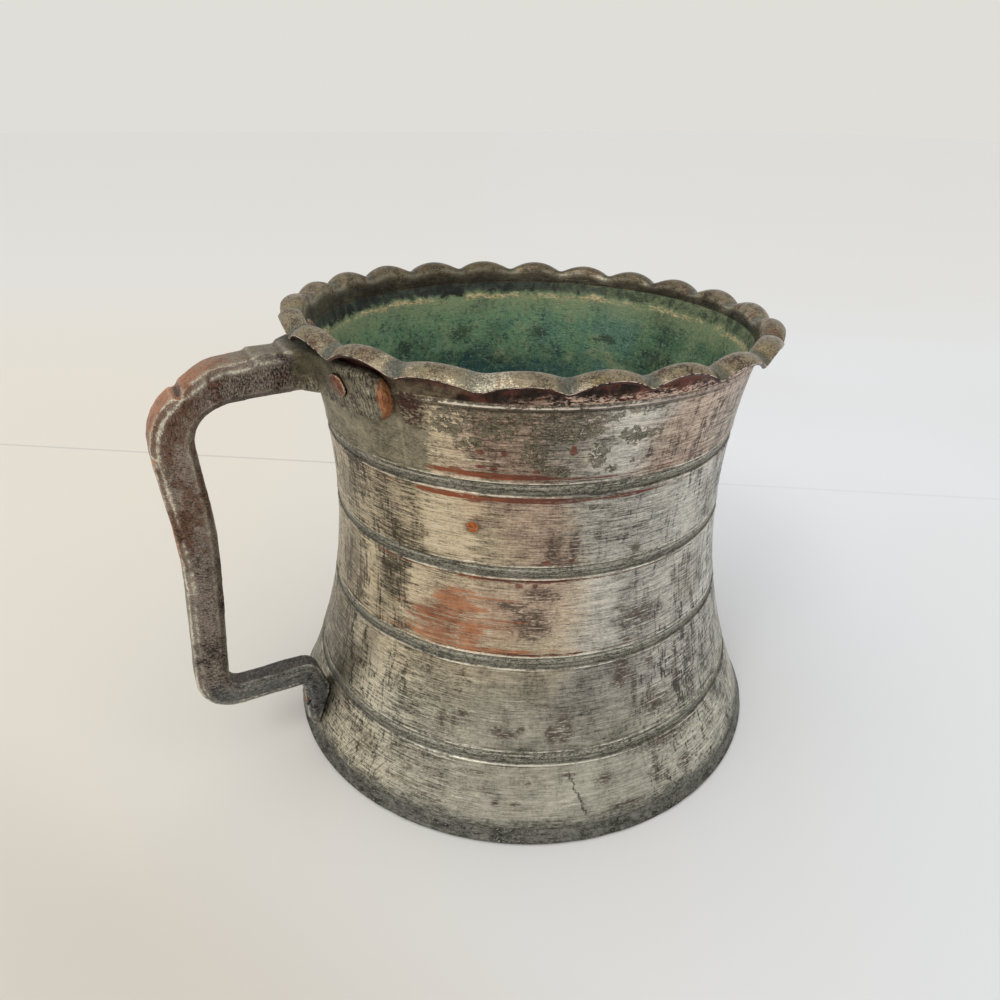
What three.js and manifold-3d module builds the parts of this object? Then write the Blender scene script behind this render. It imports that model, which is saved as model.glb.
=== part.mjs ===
// Tinned copper tankard: a waisted wall with turned bands and a petalled rim, a base pan lapped round its
// foot, and a forged handle held by a rivet through each wing of its saddle and one through its tongue.
// Millimetres, +Z up. The origin is on the wall's axis, under the base, and the handle points along -X.

import * as THREE from "three";
import { mergeVertices } from "three/addons/utils/BufferGeometryUtils.js";
import Module from "manifold-3d";

const wasm = await Module();
wasm.setup();

// Sheet and fits
const wallThickness = 1.3;
const fitGap = 0.3;

// Wall: a parabola in section, narrowest at the waist
const footRadius = 73.7;
const waistRadius = 56;
const waistHeight = 77;

// Turned bands and the raised line under the rim
const bandHeights = [22.1, 47.9, 73.2, 95.7];
const bandWidth = 3;
const bandDepth = 0.45;
const bandSlope = 0.5;
const collarHeight = 116.5;
const collarProud = 0.5;
const collarHalfWidth = 1;
const neckRise = 0.5;

// Rim: how far out and up the bent sheet's three control points lie from the neck, at a notch and at the
// middle of a petal. The handle's pull lifts its side, and the petals on one side came out flatter.
const petalCount = 22;
const notchBend = [[0.55, 3.8], [1.85, 4.7], [5.2, 2.2]];
const petalBend = [[0.55, 5], [2.5, 7.6], [5.9, 5.6]];
const petalRoundness = 0.65;
const notchRoundness = 0.22;
const lipRound = 0.4;
const rimTilt = 2;
const flatAzimuth = 231;
const flatAmount = 0.5;
const flatSharpness = 20;

// The petals were spaced by eye: azimuth of the first notch and three slow swings of the spacing, each as
// size and phase in degrees
const firstNotch = 198.2;
const spacingSwings = [[1.2, 161.3], [0.8, 347.8], [1, 89.2]];

// Base pan
const floorThickness = 1.2;
const lapHeight = 4.2;
const lapThickness = 0.9;
const footRound = 0.8;
const jogHeight = 2;

// Handle, seen from its side: the arm from the saddle to the shoulder, with a step where its neck ends
const armWidth = 12;
const edgeChamfer = 1.7;
const armTop = collarHeight + 3.8;
const armDepth = 9.4;
const rootRise = 0.4;
const neckLength = 15.4;
const neckStep = 0.7;
const bowLength = 9.6;
const bowDrop = 0.8;
const bowRadius = 9;
const sagLength = 8.6;
const sagDrop = 1.1;
const sagRadius = 20;

// The shoulder, the grip with its hollow outline, and the heel, as distances out from the wall at the saddle
const shoulderReach = 41.4;
const shoulderDrop = 12;
const shoulderRadius = 15.5;
const shoulderDepth = 10.4;
const shoulderInnerDrop = 5.9;
const shoulderInnerRadius = 13;
const gripWaistIn = 2.8;
const gripWaistHeight = 70;
const gripInnerWaistHeight = 76;
const gripWaistDepth = 9.4;
const gripRadius = 120;
const heelReach = 42.6;
const heelHeight = 21.3;
const heelDepth = 7;
const heelGripDepth = 9.2;
const heelRadius = 10.5;
const heelInnerRadius = 3.2;

// Tongue: distances out from the wall where the tongue is riveted to it
const tongueWidth = 6.8;
const tongueRivetHeight = 13;
const tongueDepth = 5.4;
const tongueTipHeight = 4.9;
const tongueTipDepth = 1;
const tongueTipFacet = 3.2;
const tongueTipRadius = 2.5;
const tongueSeatTop = 18;
const seatSlope = 1;
const seatRadius = 3;
const ankleOut = 1.4;
const ankleRadius = 5;
const ankleCrease = 0.6;

// Saddle
const saddleHeight = collarHeight - 1.5;
const wingHeight = 12.4;
const wingThickness = 3;
const wingSweep = 31.6;
const wingBevel = 0.9;
const neckFillet = 4.2;
const wingWaistLength = 20;

// Nicks filed across the outside of the handle: distance along it from the wall, and depth
const nicks = [[34.4, 1.4], [52.5, 1.2], [81, 0.6], [89, 0.6]];
const nickSide = 6;

// Rivets
const shankRadius = 2.3;
const insideHeadRadius = 4.2;
const insideHeadHeight = 1.8;
const peenRadius = 3;
const peenHeight = 0.7;
const wingRivetAngle = 18.7;
const wingRivetHeight = saddleHeight + 2;

// Facets: counts, the steps of round corners in degrees, and the rim's rows as shares of its section
const petalFacets = 6;
const rivetFacets = 20;
const panFacets = 88;
const headSteps = 4;
const peenSteps = 3;
const cornerStep = 15;
const undersideRows = [0.2, 0.4, 0.6, 0.8, 1];
const topsideRows = [1, 0.85, 0.7, 0.55, 0.4, 0.2];

// Stock that is cut away again: past the wall's face, inside the cup, through the rivet holes, and filed off
const spareDepth = 4;
const spareCore = 8;
const drillLength = 30;
const filedSide = 40;
const weldDistance = 1e-4;
const handleAzimuth = 180;

const radians = THREE.MathUtils.degToRad;
const flare = (footRadius - waistRadius) / waistHeight ** 2;

function outerRadius(height) {
  return waistRadius + flare * (height - waistHeight) ** 2;
}

function wallSlope(height) {
  return 2 * flare * (height - waistHeight);
}

// A point of the wall's section, so deep in from its outer face
function wallPoint(height, depth) {
  return [outerRadius(height) - depth * Math.hypot(1, wallSlope(height)), height];
}

// Azimuth in degrees of a place counted in petals from the first notch
function petalAzimuth(petals) {
  const even = 360 * petals / petalCount;
  const swing = (sum, [size, phase], index) =>
    sum + size * Math.cos(radians((index + 1) * even - phase));
  return firstNotch + even + spacingSwings.reduce(swing, 0);
}

// The arch of a petal: 0 at its notches, whose floors are rounded, and 1 at its middle
function petalArch(petals) {
  const rise = Math.abs(Math.sin(Math.PI * petals));
  const most = Math.hypot(1, notchRoundness);
  return ((Math.hypot(rise, notchRoundness) - notchRoundness) / (most - notchRoundness)) ** petalRoundness;
}

// The columns of facets, petalFacets to a petal: azimuth, and 0 at a notch to 1 at the middle of a petal
const columns = Array.from({ length: petalCount * petalFacets }, (_, index) => {
  const petals = index / petalFacets;
  const azimuth = radians(petalAzimuth(petals));
  const flat = flatAmount * Math.max(0, Math.cos(azimuth - radians(flatAzimuth))) ** flatSharpness;
  const swell = (1 - flat) * petalArch(petals);
  return { azimuth, swell, lift: rimTilt * Math.cos(azimuth - radians(handleAzimuth)) };
});

// The rim's section at one column, as a curve down the middle of the sheet
const rimStart = collarHeight + collarHalfWidth + neckRise;

function rimCurve({ swell, lift }) {
  const neck = new THREE.Vector2(...wallPoint(rimStart, wallThickness / 2));
  const bend = notchBend.map(([out, up], index) => {
    const [petalOut, petalUp] = petalBend[index];
    return new THREE.Vector2(
      neck.x + THREE.MathUtils.lerp(out, petalOut, swell),
      neck.y + THREE.MathUtils.lerp(up, petalUp, swell) + lift,
    );
  });
  return new THREE.CubicBezierCurve(neck, ...bend);
}

// Rows of facets round the wall, each a function from a column to a point of its section
function wallRow(height, depth) {
  return { fine: false, point: () => wallPoint(height, depth) };
}

// A row on the rim: side is 1 on top, where the inside of the sheet faces up, and -1 underneath
function rimRow(along, side, offset, beyond = 0) {
  const point = (column) => {
    const curve = rimCurve(column);
    const middle = curve.getPoint(along);
    const tangent = curve.getTangent(along);
    return [
      middle.x + beyond * tangent.x - side * offset * tangent.y,
      middle.y + beyond * tangent.y + side * offset * tangent.x,
    ];
  };
  return { fine: true, point };
}

function bandRows(height, outset) {
  const half = bandWidth / 2;
  return [
    wallRow(height - half, -outset),
    wallRow(height - half + bandSlope, bandDepth - outset),
    wallRow(height + half - bandSlope, bandDepth - outset),
    wallRow(height + half, -outset),
  ];
}

// The wall's closed section, grown outwards by outset and inwards by inset
function shellRows(outset, inset, banded) {
  const lap = lapThickness + fitGap;
  const rows = [wallRow(floorThickness + fitGap, lap - outset)];
  rows.push(wallRow(lapHeight + fitGap - outset, lap - outset), wallRow(lapHeight + fitGap, -outset));
  const edges = [lapHeight, ...bandHeights, collarHeight];
  edges.slice(1).forEach((height, index) => {
    rows.push(wallRow((edges[index] + height) / 2, -outset));
    if (index < bandHeights.length) {
      rows.push(...(banded ? bandRows(height, outset) : [wallRow(height, -outset)]));
    }
  });
  rows.push(
    wallRow(collarHeight - collarHalfWidth, -outset),
    wallRow(collarHeight, -collarProud - outset),
    wallRow(collarHeight + collarHalfWidth, -outset),
  );
  const half = wallThickness / 2;
  undersideRows.forEach((along) => rows.push(rimRow(along, -1, half + outset)));
  rows.push(rimRow(1, 1, 0, lipRound + outset));
  topsideRows.forEach((along) => rows.push(rimRow(along, 1, half + outset)));
  const innerDepth = wallThickness + inset;
  const innerEdges = [rimStart, ...[...bandHeights].reverse(), lapHeight + jogHeight];
  innerEdges.forEach((height) => rows.push(wallRow(height, innerDepth)));
  rows.push(wallRow(lapHeight, innerDepth + lap), wallRow(floorThickness + fitGap, innerDepth + lap));
  return rows;
}

// A closed surface round the axis from rows of points: fine rows have every column, the others every second
function spin(rows) {
  const positions = [];
  const rings = rows.map(({ fine, point }) => columns.map((column, index) => {
    if (!fine && index % 2) {
      return null;
    }
    const [radius, height] = point(column);
    positions.push(radius * Math.cos(column.azimuth), radius * Math.sin(column.azimuth), height);
    return positions.length / 3 - 1;
  }));
  const faces = [];
  rings.forEach((ring, row) => {
    const next = rings[(row + 1) % rings.length];
    for (let index = 0; index < columns.length; index += 2) {
      const far = (index + 2) % columns.length;
      const below = [ring[index], ring[index + 1], ring[far]].filter((vertex) => vertex !== null);
      const above = [next[index], next[index + 1], next[far]].filter((vertex) => vertex !== null);
      stitch(faces, below, above);
    }
  });
  return solidGeometry(positions, faces);
}

// Triangles between two short runs of vertices, of two or three each
function stitch(faces, below, above) {
  if (below.length === above.length) {
    for (let step = 1; step < below.length; step += 1) {
      faces.push(below[step - 1], below[step], above[step]);
      faces.push(below[step - 1], above[step], above[step - 1]);
    }
  } else if (below.length < above.length) {
    faces.push(below[0], below[1], above[1], below[0], above[1], above[0], below[1], above[2], above[1]);
  } else {
    faces.push(below[0], below[1], above[0], below[1], above[1], above[0], below[1], below[2], above[1]);
  }
}

function solidGeometry(positions, faces) {
  const geometry = new THREE.BufferGeometry();
  geometry.setAttribute("position", new THREE.Float32BufferAttribute(positions, 3));
  geometry.setIndex(faces);
  return geometry;
}

// Solids and back
function toSolid(geometry) {
  const plain = geometry.clone();
  plain.deleteAttribute("normal");
  plain.deleteAttribute("uv");
  const merged = mergeVertices(plain, weldDistance);
  const index = Array.from(merged.index.array);
  const kept = [];
  for (let face = 0; face < index.length; face += 3) {
    const [a, b, c] = index.slice(face, face + 3);
    if (a !== b && b !== c && c !== a) {
      kept.push(a, b, c);
    }
  }
  return new wasm.Manifold(new wasm.Mesh({
    numProp: 3,
    vertProperties: new Float32Array(merged.attributes.position.array),
    triVerts: new Uint32Array(kept),
  }));
}

function toGeometry(solid) {
  const { vertProperties, triVerts } = solid.getMesh();
  const geometry = solidGeometry(Array.from(vertProperties), Array.from(triVerts));
  geometry.computeVertexNormals();
  return geometry;
}

// Cutting the bar off at the wall leaves offcuts inside the cup, so only the largest piece is kept
function largestPiece(solid) {
  return solid.decompose().reduce((best, piece) => (piece.volume() > best.volume() ? piece : best));
}

// How far from a corner [out, up, radius] its rounding starts, on the lines to the corners beside it
function roundingReach(corners, index) {
  const [x, y, radius] = corners[index];
  if (!radius) {
    return 0;
  }
  const corner = new THREE.Vector2(x, y);
  const before = new THREE.Vector2(...corners[index - 1]).sub(corner).normalize();
  const after = new THREE.Vector2(...corners[index + 1]).sub(corner).normalize();
  return radius / Math.tan(Math.acos(THREE.MathUtils.clamp(before.dot(after), -1, 1)) / 2);
}

// An outline with rounded corners. Where two roundings don't fit on their line, both get smaller.
function roundedOutline(corners) {
  const reaches = corners.map((_, index) => roundingReach(corners, index));
  const points = [];
  corners.forEach(([x, y], index) => {
    const corner = new THREE.Vector2(x, y);
    if (!reaches[index]) {
      points.push(corner);
      return;
    }
    const before = new THREE.Vector2(...corners[index - 1]).sub(corner);
    const after = new THREE.Vector2(...corners[index + 1]).sub(corner);
    const room = Math.min(
      before.length() / (reaches[index] + reaches[index - 1]),
      after.length() / (reaches[index] + reaches[index + 1]),
      1,
    );
    const reach = reaches[index] * room;
    const half = before.angleTo(after) / 2;
    const middle = before.clone().normalize().add(after.clone().normalize()).normalize();
    const centre = corner.clone().addScaledVector(middle, reach / Math.cos(half));
    const start = corner.clone().addScaledVector(before.normalize(), reach).sub(centre);
    const end = corner.clone().addScaledVector(after.normalize(), reach).sub(centre);
    const turn = Math.atan2(start.cross(end), start.dot(end));
    const steps = Math.max(2, Math.ceil(Math.abs(turn) / radians(cornerStep)));
    for (let step = 0; step <= steps; step += 1) {
      points.push(start.clone().rotateAround(new THREE.Vector2(), turn * step / steps).add(centre));
    }
  });
  return points;
}

// The handle from its side: the outside from the wall to the tongue's tip, then the inside back to the wall
const saddleRadius = outerRadius(saddleHeight);
const rootRadius = saddleRadius - spareDepth;
const neckEnd = saddleRadius + neckLength;
const armBottom = armTop - armDepth;
const tongueRadius = outerRadius(tongueRivetHeight) + fitGap;
const tongueOut = tongueRadius + tongueDepth;
const shoulderOut = saddleRadius + shoulderReach;
const gripWaistOut = shoulderOut - gripWaistIn;
const heelOut = saddleRadius + heelReach;

function outsideCorners() {
  return [
    [rootRadius, armTop + rootRise, 0],
    [neckEnd, armTop, 0],
    [neckEnd + neckStep, armTop - neckStep, 0],
    [neckEnd + bowLength, armTop - neckStep - bowDrop, bowRadius],
    [shoulderOut, armTop - shoulderDrop, shoulderRadius],
    [gripWaistOut, gripWaistHeight, gripRadius],
    [heelOut, heelHeight, heelRadius],
    [tongueOut, heelHeight, ankleCrease],
    [tongueOut, tongueTipHeight + tongueTipFacet, tongueTipRadius],
    [outerRadius(tongueTipHeight) + tongueTipDepth, tongueTipHeight, 0],
  ];
}

function insideCorners() {
  return [
    [tongueRadius - spareDepth, tongueTipHeight, 0],
    [tongueRadius - spareDepth, tongueSeatTop - seatSlope, 0],
    [outerRadius(tongueSeatTop) + fitGap, tongueSeatTop, seatRadius],
    [tongueRadius + ankleOut, heelHeight + heelDepth, ankleRadius],
    [heelOut - heelGripDepth, heelHeight + heelDepth, heelInnerRadius],
    [gripWaistOut - gripWaistDepth, gripInnerWaistHeight, gripRadius],
    [shoulderOut - shoulderDepth, armBottom - shoulderInnerDrop, shoulderInnerRadius],
    [neckEnd + sagLength, armBottom - sagDrop, sagRadius],
    [rootRadius, armBottom, 0],
  ];
}

// The bar is cut from its side outline, chamfered all round, and narrows from the arm to the tongue
function barSolid() {
  const outline = new THREE.Shape([...roundedOutline(outsideCorners()), ...roundedOutline(insideCorners())]);
  const geometry = new THREE.ExtrudeGeometry(outline, {
    depth: armWidth - 2 * edgeChamfer,
    bevelEnabled: true,
    bevelThickness: edgeChamfer,
    bevelSize: edgeChamfer,
    bevelOffset: -edgeChamfer,
    bevelSegments: 1,
    curveSegments: 1,
  });
  geometry.translate(0, 0, edgeChamfer - armWidth / 2);
  const position = geometry.attributes.position;
  for (let vertex = 0; vertex < position.count; vertex += 1) {
    const [out, up, across] = [position.getX(vertex), position.getY(vertex), position.getZ(vertex)];
    const rise = THREE.MathUtils.smoothstep(up, heelHeight, armTop);
    const width = THREE.MathUtils.lerp(tongueWidth / armWidth, 1, rise);
    position.setXYZ(vertex, -out, across * width, up);
  }
  return toSolid(geometry);
}

// The saddle: a strip bent round the neck, round at both ends, thickened by a fillet where it meets the arm
function saddleSolid() {
  const radius = saddleRadius + wingThickness;
  const halfHeight = wingHeight / 2;
  const straight = radians(wingSweep) - halfHeight / radius;
  const endSteps = 5;
  const straightSteps = 12;
  const stations = [];
  for (let step = 1; step <= endSteps; step += 1) {
    const turn = Math.PI / 2 * step / endSteps;
    stations.push([-straight - halfHeight / radius * Math.cos(turn), halfHeight * Math.sin(turn)]);
  }
  for (let step = 1; step < straightSteps; step += 1) {
    stations.push([straight * (2 * step / straightSteps - 1), halfHeight]);
  }
  for (let step = endSteps; step >= 1; step -= 1) {
    const turn = Math.PI / 2 * step / endSteps;
    stations.push([straight + halfHeight / radius * Math.cos(turn), halfHeight * Math.sin(turn)]);
  }
  const positions = [];
  stations.forEach(([angle, half]) => {
    const across = Math.abs(radius * Math.sin(angle));
    const waisted = 1 - THREE.MathUtils.smoothstep(across, armWidth / 2, wingWaistLength);
    const under = THREE.MathUtils.lerp(half, saddleHeight - armBottom, waisted);
    const inFillet = THREE.MathUtils.clamp(1 - (across - armWidth / 2) / neckFillet, 0, 1);
    const thick = wingThickness + neckFillet * (1 - Math.sqrt(1 - inFillet ** 2));
    const section = [
      [half, -spareDepth],
      [half, thick - wingBevel],
      [half - wingBevel, thick],
      [wingBevel - under, thick],
      [-under, thick - wingBevel],
      [-under, -spareDepth],
    ];
    section.forEach(([up, out]) => {
      const height = saddleHeight + up;
      const reach = outerRadius(height) + fitGap + out;
      const azimuth = radians(handleAzimuth) + angle;
      positions.push(reach * Math.cos(azimuth), reach * Math.sin(azimuth), height);
    });
  });
  return toSolid(solidGeometry(positions, loftFaces(stations.length, 6)));
}

// Faces of a loft of closed sections, with flat ends
function loftFaces(sections, corners) {
  const faces = [];
  for (let section = 1; section < sections; section += 1) {
    for (let corner = 0; corner < corners; corner += 1) {
      const next = (corner + 1) % corners;
      const [a, b] = [(section - 1) * corners + corner, (section - 1) * corners + next];
      const [c, d] = [section * corners + corner, section * corners + next];
      faces.push(a, b, d, a, d, c);
    }
  }
  const last = (sections - 1) * corners;
  for (let corner = 2; corner < corners; corner += 1) {
    faces.push(0, corner, corner - 1);
    faces.push(last, last + corner - 1, last + corner);
  }
  return faces;
}

// Nicks: a square bar laid on edge across the handle, sunk into its outside
function nickSolids() {
  const outside = roundedOutline(outsideCorners());
  return nicks.map(([along, depth]) => {
    let left = along + saddleRadius - rootRadius;
    let index = 1;
    while (left > outside[index].distanceTo(outside[index - 1])) {
      left -= outside[index].distanceTo(outside[index - 1]);
      index += 1;
    }
    const direction = outside[index].clone().sub(outside[index - 1]).normalize();
    const place = outside[index - 1].clone().addScaledVector(direction, left);
    const lift = nickSide / Math.SQRT2 - depth;
    const cutter = new THREE.BoxGeometry(nickSide, 2 * armWidth, nickSide);
    cutter.rotateY(Math.PI / 4 + Math.atan2(direction.y, direction.x));
    cutter.translate(-(place.x - lift * direction.y), 0, place.y + lift * direction.x);
    return toSolid(cutter);
  });
}

// Rivets: each is described by its azimuth, its height on the wall, and how much metal it holds outside
const rivetSeats = {
  rivet_near: { turn: wingRivetAngle, height: wingRivetHeight, grip: fitGap + wingThickness },
  rivet_far: { turn: -wingRivetAngle, height: wingRivetHeight, grip: fitGap + wingThickness },
  rivet_lower: { turn: 0, height: tongueRivetHeight, grip: null },
};

// A profile turned round the Z axis
function turned(profile, facets) {
  return new THREE.LatheGeometry(profile, facets).rotateX(Math.PI / 2);
}

// Turns a geometry that stands on +Z at the origin to stand square on the wall's outer face
function standOnWall(geometry, { turn, height }) {
  geometry.rotateY(Math.PI / 2 + Math.atan(wallSlope(height)));
  geometry.translate(outerRadius(height), 0, height);
  geometry.rotateZ(radians(handleAzimuth + turn));
  return geometry;
}

function holeSolid(seat) {
  const radius = shankRadius + fitGap;
  const drill = new THREE.CylinderGeometry(radius, radius, drillLength, rivetFacets);
  drill.rotateX(Math.PI / 2);
  return toSolid(standOnWall(drill, seat));
}

function dome(radius, base, height, steps) {
  return Array.from({ length: steps }, (_, index) => {
    const turn = Math.PI / 2 * (index + 1) / steps;
    return new THREE.Vector2(radius * Math.cos(turn), base + height * Math.sin(turn));
  });
}

function rivetSolid(seat) {
  const inside = -wallThickness - 2 * fitGap;
  const points = dome(insideHeadRadius, inside, -insideHeadHeight, headSteps).reverse();
  points[0].x = 0;
  points.push(new THREE.Vector2(insideHeadRadius, inside), new THREE.Vector2(shankRadius, inside));
  if (seat.grip === null) {
    points.push(new THREE.Vector2(shankRadius, 2 * tongueDepth), new THREE.Vector2(0, 2 * tongueDepth));
  } else {
    const outside = seat.grip + fitGap;
    points.push(new THREE.Vector2(shankRadius, outside), new THREE.Vector2(peenRadius, outside));
    points.push(...dome(peenRadius, outside, peenHeight, peenSteps));
    points[points.length - 1].x = 0;
  }
  const solid = toSolid(standOnWall(turned(points, rivetFacets), seat));
  if (seat.grip !== null) {
    return solid;
  }
  const filed = new THREE.BoxGeometry(filedSide, filedSide, filedSide);
  filed.translate(-tongueOut - filedSide / 2, 0, tongueRivetHeight);
  return solid.subtract(toSolid(filed));
}

// Base pan: a flat floor with its edge turned up and lapped round the wall's foot
function basePanGeometry() {
  const profile = [new THREE.Vector2(0, 0), new THREE.Vector2(outerRadius(0) - footRound, 0)];
  const steps = 4;
  for (let step = 0; step <= steps; step += 1) {
    const height = THREE.MathUtils.lerp(footRound, lapHeight, step / steps);
    profile.push(new THREE.Vector2(...wallPoint(height, 0)));
  }
  profile.push(new THREE.Vector2(...wallPoint(lapHeight, lapThickness)));
  profile.push(new THREE.Vector2(...wallPoint(floorThickness, lapThickness)));
  profile.push(new THREE.Vector2(0, floorThickness));
  return turned(profile, panFacets);
}

function metal(color, roughness) {
  return new THREE.MeshStandardMaterial({ color, roughness, metalness: 1 });
}

const tankard = new THREE.Group();

function add(name, geometry, material) {
  const mesh = new THREE.Mesh(geometry, material);
  mesh.name = name;
  tankard.add(mesh);
}

const seats = Object.values(rivetSeats);
const holes = seats.map(holeSolid);
const wall = holes.reduce((solid, hole) => solid.subtract(hole), toSolid(spin(shellRows(0, 0, true))));
const clearance = toSolid(spin(shellRows(fitGap, spareCore, false)));
const forging = barSolid().add(saddleSolid()).subtract(clearance);
const cutters = [...nickSolids(), ...holes];
const handle = largestPiece(cutters.reduce((solid, cutter) => solid.subtract(cutter), forging));

add("body", toGeometry(wall), metal(0xa9a59b, 0.38));
add("base", toGeometry(toSolid(basePanGeometry())), metal(0x6f6a63, 0.5));
add("handle", toGeometry(handle), metal(0x87786a, 0.45));
Object.entries(rivetSeats).forEach(([name, seat]) => {
  add(name, toGeometry(rivetSolid(seat)), metal(0xa4664a, 0.5));
});

export default tankard;
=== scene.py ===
"""The looks of the tinned copper tankard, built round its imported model.

Lengths are in millimetres until a mesh is made, and metres in Blender. The origin is on the wall's axis, in
the plane that the base stands on, +Z is up and the handle points along -X. A turn is in degrees round the
wall from the middle of the photographed side, to the right as the photograph shows it.
"""

import math
from types import SimpleNamespace
import bpy
import numpy as np
from mathutils import Matrix, Vector, noise


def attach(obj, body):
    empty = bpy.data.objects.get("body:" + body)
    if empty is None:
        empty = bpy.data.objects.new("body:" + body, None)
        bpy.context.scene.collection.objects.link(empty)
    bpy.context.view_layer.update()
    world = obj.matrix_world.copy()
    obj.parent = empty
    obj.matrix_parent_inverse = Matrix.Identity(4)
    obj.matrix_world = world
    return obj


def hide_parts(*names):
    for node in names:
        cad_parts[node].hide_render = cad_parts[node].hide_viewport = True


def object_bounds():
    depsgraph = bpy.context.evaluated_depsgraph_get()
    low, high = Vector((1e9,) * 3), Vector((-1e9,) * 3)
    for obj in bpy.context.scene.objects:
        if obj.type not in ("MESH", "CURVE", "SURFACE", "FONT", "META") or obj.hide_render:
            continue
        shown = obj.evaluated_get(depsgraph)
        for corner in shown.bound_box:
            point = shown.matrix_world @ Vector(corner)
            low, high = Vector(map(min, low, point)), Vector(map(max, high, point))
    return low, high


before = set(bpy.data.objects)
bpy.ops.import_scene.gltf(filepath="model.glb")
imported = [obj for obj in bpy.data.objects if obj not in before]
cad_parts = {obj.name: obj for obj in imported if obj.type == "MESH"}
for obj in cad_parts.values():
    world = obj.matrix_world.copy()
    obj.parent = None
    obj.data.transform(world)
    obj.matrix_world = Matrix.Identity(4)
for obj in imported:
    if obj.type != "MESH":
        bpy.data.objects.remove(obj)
cad_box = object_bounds()

MM = 0.001

# Wall and rim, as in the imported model
WALL = 1.3
GAP = 0.3
FOOT_RADIUS = 73.7
WAIST_RADIUS = 56.0
WAIST_HEIGHT = 77.0
BANDS = (22.1, 47.9, 73.2, 95.7)
BAND_HALF = 1.5
COLLAR = 116.5
RIM_START = 118.0
PETALS = 22
FIRST_NOTCH = 198.2
SPACING_SWINGS = ((1.2, 161.3), (0.8, 347.8), (1.0, 89.2))
NOTCH_ROUNDNESS = 0.22
VALLEY_ROUNDNESS = 0.16
RIM_TILT = 2.0
FLAT_AZIMUTH = 231.0
FLAT_AMOUNT = 0.5
FLAT_SHARPNESS = 20
FLOOR = 1.2
LAP_HEIGHT = 4.2
LAP = 0.9
FOOT_ROUND = 0.8

# The petals' edge: half its thickness, and the azimuth where it is turned up
EDGE_HALF = 0.55
CURL_AZIMUTH = 264

# Facets
PETAL_COLUMNS = 28
BASE_COLUMNS = 720
LATTICE = 512

# The handle's loop and the rivets through its wings
LOOP_CENTRE = (-80.0, 0.0, 65.0)
WING_RIVET_TURN = 18.7
WING_RIVET_HEIGHT = 117.0

# Azimuths of the middle of the photographed side, and of the way that the photograph looks
MIDDLE_AZIMUTH = -120
LOOKING = math.radians(62.16)

# Where the wear changes: above the highest band, and at the tide line inside
UPPER = 97.0
TIDE = 113.4

# Further from every mark than its formula reaches, in the mark's own sizes
FAR = 3.0

# Light and dark fields of the tin, by the heights between which they lie: turns where they start and end, and
# how much darker, from -1 where it is lightest to 1 where it is darkest. They hold the tin's own worn and
# dull patina and, laid into it, painted shade and painted highlight for the room reflected in the metal:
# darker towards the left and right, and a bright streak to the left of the middle.
PATINA_AND_PAINTED_LIGHT = {
    (75, 94): (
        (-95, -66, 0.8), (-66, -43, 0.5), (-41.5, -35.5, 0.95), (-35.5, -25, 0.15), (-25, -11, -1.05),
        (-11, 8, 0.15), (8, 60, 0.08), (60, 100, 0.5),
    ),
    (50, 71): (
        (-95, -48, 0.75), (-48, -41, -0.4), (-31, -26.5, -1.1), (-26.5, -12, -0.4), (-12, 5, -0.3),
        (5, 24, -0.5), (24, 45, 0.2), (45, 100, 0.25),
    ),
    (59, 71): ((-40, -31, 0.95),),
    (50, 59): ((-40, -31, 0.3),),
    (24, 46): (
        (-95, -52, 1), (-52, -45, 0.35), (-45, -36, -0.5), (-36, -26, -0.1), (0, 20, 0.15), (20, 40, 0.05),
        (40, 100, 0.45),
    ),
    (4, 20): (
        (-95, -60, 0.85), (-60, -47, 0.3), (-47, -34, -0.4), (-34, 20, -0.15), (20, 60, -0.05),
        (60, 100, 0.7),
    ),
    (98, 116): ((-22, -12, -0.8), (-12, 14, 0.25), (14, 28, -0.45), (60, 100, 0.5)),
}

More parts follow.
